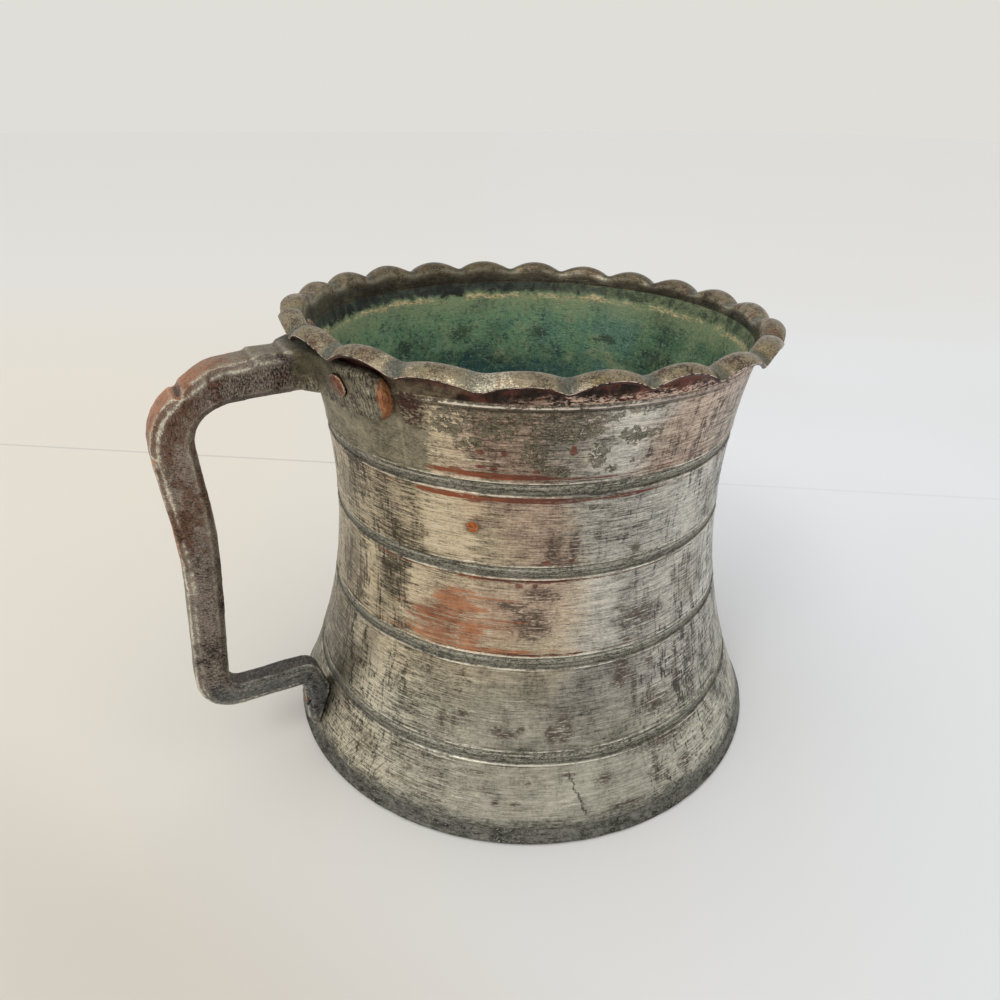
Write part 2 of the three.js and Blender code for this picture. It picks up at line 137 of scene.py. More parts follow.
# Marks on the wall, by kind: turn, height, and half sizes
OUTSIDE_MARKS = {
    "copper": (
        (-24, 52.2, 7, 2.2), (-12, 51, 22, 0.6), (-16.5, 57.6, 13, 0.9), (-13, 54.3, 3, 3.2),
        (-17.5, 63.6, 4.6, 2.2), (-19, 60.6, 5, 1.2), (-22, 59, 8, 0.6), (-16, 66.4, 4, 0.6),
        (-9, 65.2, 6, 0.4), (-24, 56, 7, 0.7), (-12, 61.6, 4, 0.8), (-6, 59.4, 7, 0.35),
        (-20, 54.6, 5, 0.8),
    ),
    "halo": (
        (-15, 58.5, 17, 9.5), (-12, 89.5, 4, 3),
    ),
    "dot": ((-12.4, 84.8, 1.45, 1.45),),
    "oxide": (
        (2, 105, 3.4, 4), (15.5, 104.5, 2.6, 3.6), (-7, 110.6, 6, 2.6), (-16.5, 110.6, 4.6, 2.6),
        (-14, 106.4, 2.2, 1.4), (9, 110.6, 8, 2.8), (-11, 107.5, 2.4, 1.6), (24, 108.6, 5, 2),
        (4.5, 101, 1.6, 1.2), (19, 100.6, 1.4, 1), (29, 77, 1.6, 1.5), (16, 90.6, 1.2, 0.9),
        (8, 100.5, 2, 1.4),
    ),
    "grey": (
        (-55, 84, 5, 6), (-36.5, 65, 4, 5.6), (-56, 61, 7, 9), (-60, 36, 7, 11), (-40, 14, 5, 3.6),
        (-29, 16.8, 2.4, 2), (-28.4, 10.6, 2.8, 1.1), (-26, 13.6, 1.2, 1), (52, 62, 8, 8), (58, 84, 8, 8),
        (56, 104, 10, 8),
    ),
    "plum": (
        (7, 79.5, 1.9, 4.3), (12.2, 80, 1.3, 4.3), (9.5, 77, 3.6, 1), (2.5, 59.5, 5.5, 5),
        (5, 67, 4.5, 2.4), (-2, 64, 5, 1.4), (-18.5, 30, 0.9, 3), (-15.6, 30.4, 0.8, 2.6),
        (-13.6, 32.4, 1.4, 1.2), (-5, 29.6, 1.6, 1.4), (-2.6, 28.4, 2.2, 1), (0.5, 30, 1, 1.4),
        (10.5, 30, 2, 4.2), (7.6, 28.6, 1.4, 2.4), (-23.2, 42.6, 0.9, 1.7), (-14, 43.6, 0.5, 2),
        (-12.4, 41.4, 0.8, 0.5), (26, 42, 2.8, 5.4), (29.4, 38, 1, 6), (34.5, 42.6, 1.4, 2.2),
        (36, 30.6, 3.8, 3.2), (50, 34, 1.4, 9), (44, 36, 1, 8), (-4.5, 10.4, 1.1, 0.9),
        (-0.4, 10.2, 1.3, 0.6), (2.4, 15.6, 0.8, 0.6), (32, 57, 7, 3.6), (40, 20, 8, 3), (33.5, 13.6, 1, 4),
        (42, 9.6, 1.6, 3), (55, 14.6, 2.2, 3), (24.5, 6.8, 3, 1), (28, 51.2, 6, 0.4), (20, 15, 2.6, 1.4),
        (24, 102, 0.6, 1), (25.6, 100.4, 0.7, 0.4), (30, 108, 0.5, 2), (36, 104, 0.6, 2.6),
        (42, 100, 0.8, 3), (6, 36.6, 3, 0.3), (-9, 17.6, 3.4, 0.6), (12, 17.4, 3, 0.5), (-20, 8, 4, 0.5),
    ),
    "spot": (
        (-10, 105, 0.9, 0.6), (-4.6, 105, 0.6, 0.9), (10, 106, 0.7, 1.2), (-10, 101.2, 1, 0.4),
        (-7, 100.8, 0.8, 0.5), (2, 100.6, 1.3, 0.4), (5.5, 76, 1, 0.6), (12, 76.2, 0.8, 0.6),
        (-16, 100, 1.3, 0.4), (-1, 69.6, 1, 0.7), (3, 69.6, 0.8, 0.6), (-12, 92, 2.6, 0.4),
    ),
    # The dark crust behind the wing is partly dark residue and partly painted shadow of the gap between wing
    # and wall
    "crust": ((-25, 113.6, 3.6, 5),),
    "trace": ((-28.6, 104.5, 0.6, 7.5),),
    "cut": ((23, 84, 4, 5),),
}

# Copper-red seams beside the bands: height, turns where they start and end, and strength
SEAMS = (
    (99.1, -23, 5, 1), (92.9, -24, 14, 1), (70.9, -18, 16, 0.8), (50.3, -4, 12, 0.5), (98.8, 5, 30, 0.35),
    (92.9, 12, 34, 0.35),
)

# Soft dark blotches inside, on the far side: millimetres to the photograph's right, height, and half sizes
INSIDE_BLOTCHES = (
    (-40, 100, 3, 2.5), (-22, 102, 4.5, 3.2), (5, 101.5, 5, 2.6), (28, 101, 4.5, 1.8), (43, 98, 4, 3.6),
    (53.5, 96, 1.3, 5), (57, 90, 1.6, 6), (-8, 92, 6, 2),
)

rng = np.random.default_rng(11)


def smoothstep(low, high, value):
    t = np.clip((value - low) / (high - low), 0.0, 1.0)
    return t * t * (3 - 2 * t)


def bump(distance, reach):
    return math.exp(-((distance / reach) ** 2))


def outer_radius(height):
    flare = (FOOT_RADIUS - WAIST_RADIUS) / WAIST_HEIGHT ** 2
    return WAIST_RADIUS + flare * (height - WAIST_HEIGHT) ** 2


def wall_stretch(height):
    """How much longer the wall's thickness is when it is measured level."""
    slope = 2 * (FOOT_RADIUS - WAIST_RADIUS) / WAIST_HEIGHT ** 2 * (height - WAIST_HEIGHT)
    return math.hypot(1, slope)


def to_right(x, y):
    """How far a place is towards the photograph's right."""
    return x * math.sin(LOOKING) - y * math.cos(LOOKING)


def to_back(x, y):
    """How far a place is towards the photograph's back."""
    return x * math.cos(LOOKING) + y * math.sin(LOOKING)


def waves(count, size, around, along):
    """A seeded sum of slow waves: around is in whole turns, along is in waves a millimetre."""
    cycle = 6.28
    parts = [
        (rng.integers(1, around), rng.uniform(0, cycle), rng.uniform(-along, along), rng.uniform(0, cycle))
        for _ in range(count)
    ]

    def field(azimuth, height):
        total = 0.0
        for turns, phase, rate, shift in parts:
            total = total + np.sin(turns * azimuth + phase) * np.sin(cycle * rate * height + shift)
        return size * total / math.sqrt(count)

    return field


def held_in_box(points):
    """Points in millimetres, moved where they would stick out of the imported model's box."""
    return np.clip(points, np.array(cad_box[0]) / MM, np.array(cad_box[1]) / MM)


def ring(azimuth, radius, height):
    """A row of points at their azimuths, each with the radius and height given for it or for all."""
    radius = radius + 0 * azimuth
    return np.stack([radius * np.cos(azimuth), radius * np.sin(azimuth), height + 0 * azimuth], 1)


def grid_faces(rows, columns, close_rows=True):
    """Quads of a grid of points that closes on itself round the axis, and from its last row to its first."""
    row = np.arange(rows if close_rows else rows - 1)[:, None]
    column = np.arange(columns)[None, :]
    beside = (column + 1) % columns
    above = (row + 1) % rows
    corners = ((row, column), (row, beside), (above, beside), (above, column))
    return np.stack([(at * columns + along).ravel() for at, along in corners], 1)


def linked(name, data):
    """An object with its data, in the scene."""
    made = bpy.data.objects.new(name, data)
    bpy.context.scene.collection.objects.link(made)
    return made


def write_attribute(mesh, name, values):
    layer = mesh.attributes.new(name, "FLOAT", "POINT")
    layer.data.foreach_set("value", np.asarray(values, np.float32).ravel())


def mesh_object(name, points, faces):
    """A smooth object from points in millimetres."""
    mesh = bpy.data.meshes.new(name)
    mesh.from_pydata(np.asarray(points, float) * MM, [], np.asarray(faces).tolist())
    mesh.polygons.foreach_set("use_smooth", [True] * len(mesh.polygons))
    mesh.validate()
    mesh.update()
    return linked(name, mesh)


# Where the wall is marked


def lattice(wide, tall, seed):
    """Smooth seeded noise of about -1 to 1 over turns and heights, with features so wide and so tall."""
    values = np.random.default_rng(seed).normal(0.0, 0.6, (LATTICE, LATTICE))

    def field(turn, height):
        across = turn / wide + 200.0
        along = height / tall + 20.0
        column = np.floor(across).astype(int)
        row = np.floor(along).astype(int)
        right = smoothstep(0.0, 1.0, across - column)
        up = smoothstep(0.0, 1.0, along - row)

        def level(at):
            line = at % LATTICE
            return values[line, column % LATTICE] * (1 - right) + values[line, (column + 1) % LATTICE] * right

        return level(row) * (1 - up) + level(row + 1) * up

    return field


def between(value, low, high, soft):
    return smoothstep(low - soft, low + soft, value) * smoothstep(high + soft, high - soft, value)


def nearest(across, upright, marks):
    """How far each point is from the nearest of some ellipses, in their own sizes: 1 on the outline."""
    far = np.full(len(across), FAR)
    for at, up, wide, tall in marks:
        far = np.minimum(far, np.hypot((across - at) / wide, (upright - up) / tall))
    return far


def wall_fields(points, side):
    """The wall's marks, as numbers on its points for the material to break up."""
    x, y, height = points.T
    turn = (np.degrees(np.arctan2(y, x)) + (180 - MIDDLE_AZIMUTH)) % 360 - 180
    comb = sum(size * lattice(wide, tall, seed)(turn, height)
               for size, wide, tall, seed in ((2.6, 16.0, 1.1, 1), (1.8, 7.0, 0.6, 2), (1.6, 12.0, 5.0, 3)))
    # The tone field from the table above: the tin's own patina, with painted shade and painted highlight in
    # it
    shade = 0.0
    for (bottom, top), spans in PATINA_AND_PAINTED_LIGHT.items():
        level = between(height, bottom - 1, top + 1, 0.8)
        for low, high, amount in spans:
            shade = shade + amount * between(turn + comb, low, high, 1.5) * level
    hidden = smoothstep(62.0, 92.0, np.abs(turn + 4))
    shade = shade * (1 - hidden) + hidden * (0.3 + waves(40, 0.75, 15, 0.03)(np.radians(turn), height))
    seam = np.full(len(turn), FAR)
    for centre, low, high, strength in SEAMS:
        outside = 1 - strength * between(turn + comb, low, high, 1.6)
        seam = np.minimum(seam, np.abs(height - centre) + outside * 0.6)
    offsets = height[:, None] - np.array(BANDS)
    band = offsets[np.arange(len(height)), np.abs(offsets).argmin(1)]
    far_side = (side > 1.5) & (to_back(x, y) > 10)
    blotch = np.where(far_side, nearest(to_right(x, y), height, INSIDE_BLOTCHES), FAR)
    fields = {"shade": shade, "seam": seam, "band": band, "blotch": blotch}
    for key, marks in OUTSIDE_MARKS.items():
        fields[key] = np.where(side > 0.1, FAR, nearest(turn, height, marks))
    return fields


# Wall and base


def rounded(value, roundness):
    """A value from 0 to 1 whose sharp start is rounded off."""
    return (np.hypot(value, roundness) - roundness) / (math.hypot(1, roundness) - roundness)


def petal_columns():
    petals = np.arange(PETALS * PETAL_COLUMNS) / PETAL_COLUMNS
    even = 2 * math.pi * petals / PETALS
    degrees = FIRST_NOTCH + np.degrees(even)
    for index, (size, phase) in enumerate(SPACING_SWINGS):
        degrees = degrees + size * np.cos((index + 1) * even - math.radians(phase))
    azimuth = np.radians(degrees)
    flat = FLAT_AMOUNT * np.maximum(0, np.cos(azimuth - math.radians(FLAT_AZIMUTH))) ** FLAT_SHARPNESS
    rise = np.abs(np.sin(math.pi * petals))
    arch = rounded(rounded(rise, NOTCH_ROUNDNESS) ** 0.6, VALLEY_ROUNDNESS)
    number = np.floor(petals).astype(int)
    return azimuth, arch, 1 - flat, number


def spline(controls, along):
    """A clamped uniform cubic B-spline through columns of control points, with its tangent and normal."""
    points = [controls[0]] * 2 + list(controls) + [controls[-1]] * 2
    spans = len(points) - 3
    place = min(along * spans, spans - 1e-9)
    start = int(place)
    t = place - start
    weights = ((1 - t) ** 3, 3 * t ** 3 - 6 * t ** 2 + 4, -3 * t ** 3 + 3 * t ** 2 + 3 * t + 1, t ** 3)
    rates = (-3 * (1 - t) ** 2, 9 * t ** 2 - 12 * t, -9 * t ** 2 + 6 * t + 3, 3 * t ** 2)
    point = sum(w * p for w, p in zip(weights, points[start:start + 4])) / 6
    tangent = sum(w * p for w, p in zip(rates, points[start:start + 4]))
    tangent = tangent / np.maximum(np.linalg.norm(tangent, axis=1, keepdims=True), 1e-9)
    return point, tangent, np.stack([-tangent[:, 1], tangent[:, 0]], 1)


def rim_controls(azimuth, arch, strength, number):
    """The rim's middle line: neck, flare, crest twice for a crisp bend, and the petal's back and edge."""
    top, rear, out, tip = rng.uniform(-0.2, 0.2, (PETALS, 4))[number].T
    crest = strength * arch ** 1.3
    back = strength * arch ** 1.1
    edge = strength * arch
    lift = -RIM_TILT * np.cos(azimuth)
    degrees = np.degrees(azimuth) % 360
    curl = 0.9 * np.exp(-((degrees - CURL_AZIMUTH) / 15) ** 2)
    curl = curl - 0.4 * np.exp(-((degrees - FLAT_AZIMUTH) / 11) ** 2)
    neck_radius = outer_radius(RIM_START) - WALL / 2 * wall_stretch(RIM_START)

    def point(outward, up, free=1.0):
        return np.stack([neck_radius + outward + 0 * lift, RIM_START + up + free * lift], 1)

    return [
        point(0.0, 0.0, 0.0),
        point(0.15 + 0.1 * crest, 2.0 + 0.5 * crest, 0.6),
        point(0.9 - 0.1 * crest, 3.7 + 1.6 * crest + 0.4 * top * arch),
        point(1.2 - 0.05 * crest, 4.1 + 1.75 * crest + 0.4 * top * arch),
        point(3.1 + 0.35 * back, 3.85 + 2.5 * back + 0.3 * curl + rear * arch),
        point(4.5 + 0.65 * back + out * arch, 2.9 + 2.75 * edge + 0.7 * curl + 0.5 * rear * arch),
        point(5.15 + 0.75 * edge + out * arch, 2.1 + 2.8 * edge + curl + tip * arch),
    ]


def band_relief(height):
    """Depth of the turned bands at a height: a hollow with a low bead in it, between two raised lines."""
    depth = 0.0
    for centre in BANDS:
        away = abs(height - centre)
        hollow = 0.42 * float(smoothstep(BAND_HALF + 0.05, BAND_HALF - 0.32, away))
        bead = 0.13 * max(0.0, 1 - (away / 0.8) ** 2)
        ridge = 0.13 * bump(away - BAND_HALF - 0.28, 0.2)
        line = 0.1 * bump(away - BAND_HALF - 0.85, 0.11)
        depth += hollow - bead - ridge + line
    return depth


def collar_relief(height):
    """Depth at the raised line under the rim, and in the fine hollow below it."""
    return 0.16 * bump(height - COLLAR + 1.25, 0.3) - 0.48 * bump(height - COLLAR, 0.5)


def wall_heights():
    """Heights of the outside rows: close together at the bands and the collar, wider between them."""
    heights = [FLOOR + GAP, LAP_HEIGHT + GAP]
    fine = [(c - 2.9, c + 2.9, 0.14) for c in BANDS] + [(COLLAR - 1.6, RIM_START - 0.1, 0.16)]
    height = LAP_HEIGHT + GAP + 0.25
    for low, high, step in fine:
        heights += list(np.linspace(height, low, max(2, int((low - height) / 0.45)), endpoint=False))
        heights += list(np.arange(low, high, step))
        height = high
    return heights


def wall_piece():
    azimuth, arch, strength, number = petal_columns()
    dent = waves(26, 0.085, 17, 0.035)
    ripple = waves(30, 0.03, 60, 0.09)
    rows = []
    marks = {key: [] for key in ("side", "sheet", "lip", "burr", "petal")}

    def add(radius, height, side, sheet=0.0, lip=0.0, burr=0.0):
        """A row. Side goes from 0 outside, over the rim's edge, to 1 on the rim and 2 inside the cup."""
        rows.append(ring(azimuth, radius, height))
        for store, value in zip(marks.values(), (side, sheet, lip, burr, strength * arch)):
            store.append(value + 0 * azimuth)

    def uneven(height, low, high):
        fade = float(smoothstep(low, high, height) * smoothstep(RIM_START, RIM_START - 4, height))
        return fade, dent(azimuth, height) + ripple(azimuth, height)

    lap = LAP + GAP
    lap_top = LAP_HEIGHT + GAP
    for height in wall_heights():
        depth = lap if height < lap_top else 0.0
        fade, dents = uneven(height, LAP_HEIGHT, LAP_HEIGHT + 3) if height > lap_top else (0.0, 0.0)
        relief = (depth + band_relief(height) + collar_relief(height)) * wall_stretch(height)
        add(outer_radius(height) - relief + fade * dents, height, 0.0)
    controls = rim_controls(azimuth, arch, strength, number)
    alongs = [
        *np.linspace(0.02, 0.25, 5, endpoint=False), *np.linspace(0.25, 0.62, 16, endpoint=False),
        *np.linspace(0.62, 0.98, 14)
    ]

    def add_rim(along, sign, side, lip):
        middle, _, normal = spline(controls, along)
        thick = WALL / 2 + (EDGE_HALF - WALL / 2) * float(smoothstep(0.5, 0.95, along))
        point = middle + sign * thick * normal
        add(point[:, 0], point[:, 1], side, along, lip)

    for along in alongs:
        add_rim(along, -1, 0.15, float(smoothstep(0.9, 0.98, along)))
    middle, tangent, normal = spline(controls, 0.985)
    edge_steps = 9
    for step in range(1, edge_steps):
        turn = math.pi * (step / edge_steps - 0.5)
        point = middle + EDGE_HALF * (math.cos(turn) ** 0.6 * tangent * 0.6 + math.sin(turn) * normal)
        corner = bump(math.sin(turn) - 0.88, 0.16) - bump(math.sin(turn) + 0.9, 0.16)
        add(point[:, 0], point[:, 1], 0.5, 1.0, 1.0, corner)
    for along in alongs[::-1]:
        add_rim(along, 1, 1.0, 0.0)
    for height in [*np.linspace(RIM_START - 0.3, 8, 84), 6.2]:
        fade, dents = uneven(height, 6, 12)
        groove = 0.2 * sum(bump(height - c, 1.3) for c in BANDS)
        add(outer_radius(height) - WALL * wall_stretch(height) + fade * (dents - groove), height, 2.0)
    for height in (5.2, LAP_HEIGHT, FLOOR + GAP):
        inset = WALL + lap if height <= LAP_HEIGHT else WALL + 0.5 * lap
        add(outer_radius(height) - inset * wall_stretch(height), height, 2.0)
    points = held_in_box(np.concatenate(rows))
    made = mesh_object("tankard_wall", points, grid_faces(len(rows), len(azimuth)))
    attributes = {key: np.concatenate(store) for key, store in marks.items()}
    attributes.update(wall_fields(points, attributes["side"]))
    for key, values in attributes.items():
        write_attribute(made.data, key, values)
    return made


def base_piece():
    """The pan, with a worn foot and a ragged top edge to its lap."""
    azimuth = np.arange(BASE_COLUMNS) / BASE_COLUMNS * 2 * math.pi
    ragged = waves(20, 0.2, 90, 0.01)(azimuth, 0.0) + waves(9, 0.22, 13, 0.01)(azimuth, 0.0)
    worn = waves(16, 0.07, 60, 0.01)(azimuth, 0.0)
    foot = outer_radius(0.0)
    top = LAP_HEIGHT + np.clip(ragged, -0.75, 0.0)
    rows = [(share * (foot - FOOT_ROUND), 0.0) for share in (0.0, 0.02, 0.25, 0.5, 0.75, 0.93, 0.985)]
    for turn in np.linspace(0, math.pi / 2, 7):
        radius = foot - FOOT_ROUND - 0.15 + FOOT_ROUND * math.sin(turn) + np.minimum(0, worn)
        rows.append((radius, FOOT_ROUND * (1 - math.cos(turn))))
    for share in np.linspace(0.1, 1.0, 14):
        height = FOOT_ROUND + share * (top - FOOT_ROUND)
        thinner = 0.35 * smoothstep(0.72, 1.0, share)
        rows.append((outer_radius(height) - 0.05 - thinner + np.minimum(0, worn * (1 - share)), height))
    rows.append((outer_radius(top) - LAP, top - 0.1))
    rows.append((outer_radius(FLOOR) - LAP * wall_stretch(FLOOR), FLOOR))
    rows += [(share * (foot - 4), FLOOR) for share in (0.97, 0.9, 0.75, 0.5, 0.25, 0.02, 0.0)]
    points = held_in_box(np.concatenate([ring(azimuth, *row) for row in rows]))
    return mesh_object("tankard_base", points, grid_faces(len(rows), BASE_COLUMNS, close_rows=False))


# Handle and rivets


def refined(node, name, voxel):
    """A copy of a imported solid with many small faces, its sharp edges softened."""
    made = linked(name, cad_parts[node].data.copy())
    remesh = made.modifiers.new("remesh", "REMESH")
    remesh.mode = "VOXEL"
    remesh.voxel_size = voxel * MM
    soften = made.modifiers.new("soften", "SMOOTH")
    soften.factor = 0.5
    soften.iterations = 4
    bpy.context.view_layer.update()
    evaluated = made.evaluated_get(bpy.context.evaluated_depsgraph_get())
    mesh = bpy.data.meshes.new_from_object(evaluated)
    mesh.name = name
    made.modifiers.clear()
    old = made.data
    made.data = mesh
    bpy.data.meshes.remove(old)
    mesh.materials.clear()
    for layer in [a for a in mesh.attributes if not a.is_required and not a.is_internal]:
        mesh.attributes.remove(layer)
    mesh.polygons.foreach_set("use_smooth", [True] * len(mesh.polygons))
    return made


def vertex_arrays(mesh):
    """Points in millimetres, and their normals."""
    arrays = []
    for key in ("co", "normal"):
        values = np.zeros(len(mesh.vertices) * 3, np.float32)
        mesh.vertices.foreach_get(key, values)
        arrays.append(values.reshape(-1, 3).astype(float))
    return arrays[0] / MM, arrays[1]


def hammered(made, size, scale, fine_size, fine_scale):
    """Moves each point along its normal by smooth noise, as hammer and file leave a forging."""
    points, normals = vertex_arrays(made.data)
    moves = np.array([
        size * noise.noise(Vector(point * scale)) + fine_size * noise.noise(Vector(point * fine_scale + 40))
        for point in points
    ])
    points = held_in_box(points + normals * moves[:, None])
    made.data.vertices.foreach_set("co", (points * MM).astype(np.float32).ravel())
    made.data.update()


def write_ridges(made):
    """Writes how far each point stands out from the points round it: above 0 on ridges, below in hollows."""
    points, normals = vertex_arrays(made.data)
    pairs = np.zeros(len(made.data.edges) * 2, np.int32)
    made.data.edges.foreach_get("vertices", pairs)
    pairs = pairs.reshape(-1, 2)
    degree = np.bincount(pairs.ravel(), minlength=len(points))
    smooth = points
    for _ in range(6):
        total = np.zeros_like(points)
        np.add.at(total, pairs[:, 0], smooth[pairs[:, 1]])
        np.add.at(total, pairs[:, 1], smooth[pairs[:, 0]])
        smooth = total / np.maximum(degree, 1)[:, None]
    write_attribute(made.data, "ridge", ((points - smooth) * normals).sum(1))


def handle_piece():
    """The forging, marked with how squarely it faces sideways (flank) and out of the loop (outward)."""
    made = refined("handle", "tankard_handle", 0.42)
    hammered(made, 0.16, 0.16, 0.05, 0.7)
    write_ridges(made)
    points, normals = vertex_arrays(made.data)
    away = points - np.array(LOOP_CENTRE)
    away[:, 1] = 0.0
    away = away / np.maximum(np.linalg.norm(away, axis=1, keepdims=True), 1e-6)
    write_attribute(made.data, "flank", np.abs(normals[:, 1]))
    write_attribute(made.data, "outward", (normals * away).sum(1))
    return made


def rivet_piece(node, name):
    made = refined(node, name, 0.22)
    hammered(made, 0.12, 0.45, 0.03, 1.6)
    write_ridges(made)
    return made


# Materials


def operator(kind, swapped=False):
    """A method of Field that adds a Math node, with the field first or, swapped, second."""
    def method(field, other=0.0):
        first, second = (other, field) if swapped else (field, other)
        return field.graph.math(kind, first, second)

    return method


class Field:
    """An output in a node tree, with arithmetic."""

    def __init__(self, graph, socket):
        self.graph = graph
        self.socket = socket

    __add__ = __radd__ = operator("ADD")
    __sub__ = operator("SUBTRACT")
    __rsub__ = operator("SUBTRACT", swapped=True)
    __mul__ = __rmul__ = operator("MULTIPLY")
    __truediv__ = operator("DIVIDE")
    __pow__ = operator("POWER")
    __abs__ = operator("ABSOLUTE")


class Graph:
    """The node tree of a material or a world, with short names for the nodes that it uses."""

    def __init__(self, owner):
        owner.use_nodes = True
        self.owner = owner
        self.tree = owner.node_tree
        self.tree.nodes.clear()

    def node(self, kind, inputs, output=0, **settings):
        """A new node's output, with its inputs set to fields, numbers or colours."""
        made = self.tree.nodes.new(kind)
        for key, value in settings.items():
            setattr(made, key, value)
        for key, value in inputs.items():
            if isinstance(value, Field):
                self.tree.links.new(value.socket, made.inputs[key])
            else:
                made.inputs[key].default_value = (*value, 1.0) if isinstance(value, tuple) else value
        return Field(self, made.outputs[output]) if made.outputs else None

    def math(self, kind, first, second):
        return self.node("ShaderNodeMath", {0: first, 1: second}, operation=kind)

    def high(self, first, second):
        return self.math("MAXIMUM", first, second)

    def angle(self, y, x):
        return self.math("ARCTAN2", y, x) * (180 / math.pi)

    def radius(self):
        return (self.x ** 2 + self.y ** 2) ** 0.5

    def ramp(self, value, low, high, start=0.0, end=1.0):
        """Start below low, end above high, and a smooth step between."""
        inputs = {"Value": value, "From Min": low, "From Max": high, "To Min": start, "To Max": end}
        return self.node("ShaderNodeMapRange", inputs, interpolation_type="SMOOTHSTEP")

    def near(self, value, place, reach):
        """1 at the place, falling smoothly to 0 at the reach."""
        return self.ramp(abs(value - place), 0.0, reach, 1.0, 0.0)

    def window(self, value, low, high, soft):
        """1 between low and high, and 0 beyond them."""
        return self.ramp(value, low - soft, low + soft) * self.ramp(value, high + soft, high - soft)

    def attribute(self, name):
        return self.node("ShaderNodeAttribute", {}, "Fac", attribute_name=name)

    def patch(self, name, rough, edge, outline=1.0):
        """1 inside the named marks, whose outline is broken up by a rough field."""
        return self.ramp(self.attribute(name) + rough, outline + edge, outline - edge)

    def noise(self, across, upright, detail, rough, twist=0.0, seed=0.0, height=None):
        """Noise of about -2 to 2 with features so many millimetres wide and tall."""
        place = {0: self.x / across + seed, 1: self.y / across, 2: (height or self.z) / upright}
        inputs = {"Vector": self.node("ShaderNodeCombineXYZ", place), "Scale": 1.0, "Detail": detail,
                  "Roughness": rough, "Distortion": twist}
        return (self.node("ShaderNodeTexNoise", inputs) - 0.5) * 9

    def textures(self, recipes):
        """Noises by name, each from its size across and upright, detail, roughness, twist and seed."""
        return SimpleNamespace(**{name: self.noise(*recipe) for name, recipe in recipes.items()})

    def mix(self, share, first, second):
        inputs = {0: share, 6: first, 7: second}
        return self.node("ShaderNodeMix", inputs, 2, data_type="RGBA", clamp_factor=True)

    def blend(self, value, low, high, pair):
        """The first colour of a pair where the value is low, and the second where it is high."""
        return self.mix(self.ramp(value, low, high), *pair)

    def layers(self, color, *coats):
        """A colour with coats laid over it in turn, each given as how much of it covers and what it is."""
        for share, coat in coats:
            color = self.mix(share, color, coat)
        return color

    def finish(self, color, metal, roughness, height):
        """The finished material, with bump from a height in millimetres."""
        relief = self.node("ShaderNodeBump", {"Strength": 1.0, "Distance": MM, "Height": height})
        inputs = {"Base Color": color, "Metallic": metal, "Roughness": roughness, "Normal": relief}
        self.node("ShaderNodeOutputMaterial", {0: self.node("ShaderNodeBsdfPrincipled", inputs)})
        return self.owner


def surface(name):
    """The graph of a new material, with the place on the object in millimetres."""
    g = Graph(bpy.data.materials.new(name))
    place = {0: g.node("ShaderNodeTexCoord", {}, "Object")}
    g.x, g.y, g.z = (g.node("ShaderNodeSeparateXYZ", place, axis) * (1 / MM) for axis in range(3))
    return g


def rgb(red, green, blue):
    """A colour as it looks on screen, from 0 to 255, as the shader wants it."""
    shares = (red / 255, green / 255, blue / 255)
    return tuple(c / 12.92 if c <= 0.04045 else ((c + 0.055) / 1.055) ** 2.4 for c in shares)


def palette(**colors):
    """Named colours: three numbers are one as it looks on screen, and six are a pair for a blend."""
    def found(values):
        return rgb(*values) if len(values) == 3 else (rgb(*values[:3]), rgb(*values[3:]))

    return SimpleNamespace(**{name: found(values) for name, values in colors.items()})


# Textures of the wall: millimetres across and upright, detail, roughness, twist and seed
WALL_TEXTURES = {
    "hair": (8, 0.17, 3, 0.6, 0, 3), "brush": (4.5, 0.4, 4, 0.7, 0, 7), "comb": (13, 0.8, 4, 0.68, 0, 13),
    "down": (0.8, 8, 4, 0.65, 0, 23), "column": (3.4, 18, 3, 0.6, 0, 29), "fleck": (1.1, 0.45, 3, 0.7, 0, 31),
    "grain": (0.42, 0.3, 2, 0.6, 0, 37), "blot": (3.6, 3, 5, 0.7, 0.4, 41),
    "stain": (10, 10, 5, 0.62, 0.3, 11), "broad": (38, 30, 3, 0.55, 0, 17), "lace": (1.15, 1, 2, 0.5, 0.8, 5),
}
HANDLE_TEXTURES = {
    "stain": (9, 11, 5, 0.62, 0.3, 2), "blot": (2.6, 3, 5, 0.7, 0.5, 4), "fleck": (0.45, 0.45, 3, 0.65, 0, 6),
    "standing": (0.22, 1, 3, 0.65, 0, 12),
}
RIVET_TEXTURES = {"blot": (1.6, 1.8, 4, 0.7, 0.5, 4), "fleck": (0.35, 0.35, 3, 0.65, 0, 6)}
BASE_TEXTURES = {
    "stain": (9, 11, 5, 0.62, 0.3, 2), "blot": (3, 1.4, 5, 0.7, 0.5, 4), "fleck": (0.6, 0.4, 3, 0.6, 0, 6),
    "scratch": (14, 14, 6, 0.7, 0.6, 9),
}

TIN = palette(
    cream=(230, 215, 186, 78, 72, 60), pink=(228, 204, 182, 84, 68, 60), silver=(230, 225, 212, 76, 73, 68),
    green=(226, 223, 206, 76, 75, 66), shine=(244, 240, 224), scratch=(66, 62, 50),
    foot=(128, 127, 118, 58, 56, 50), crack=(54, 48, 42),
)


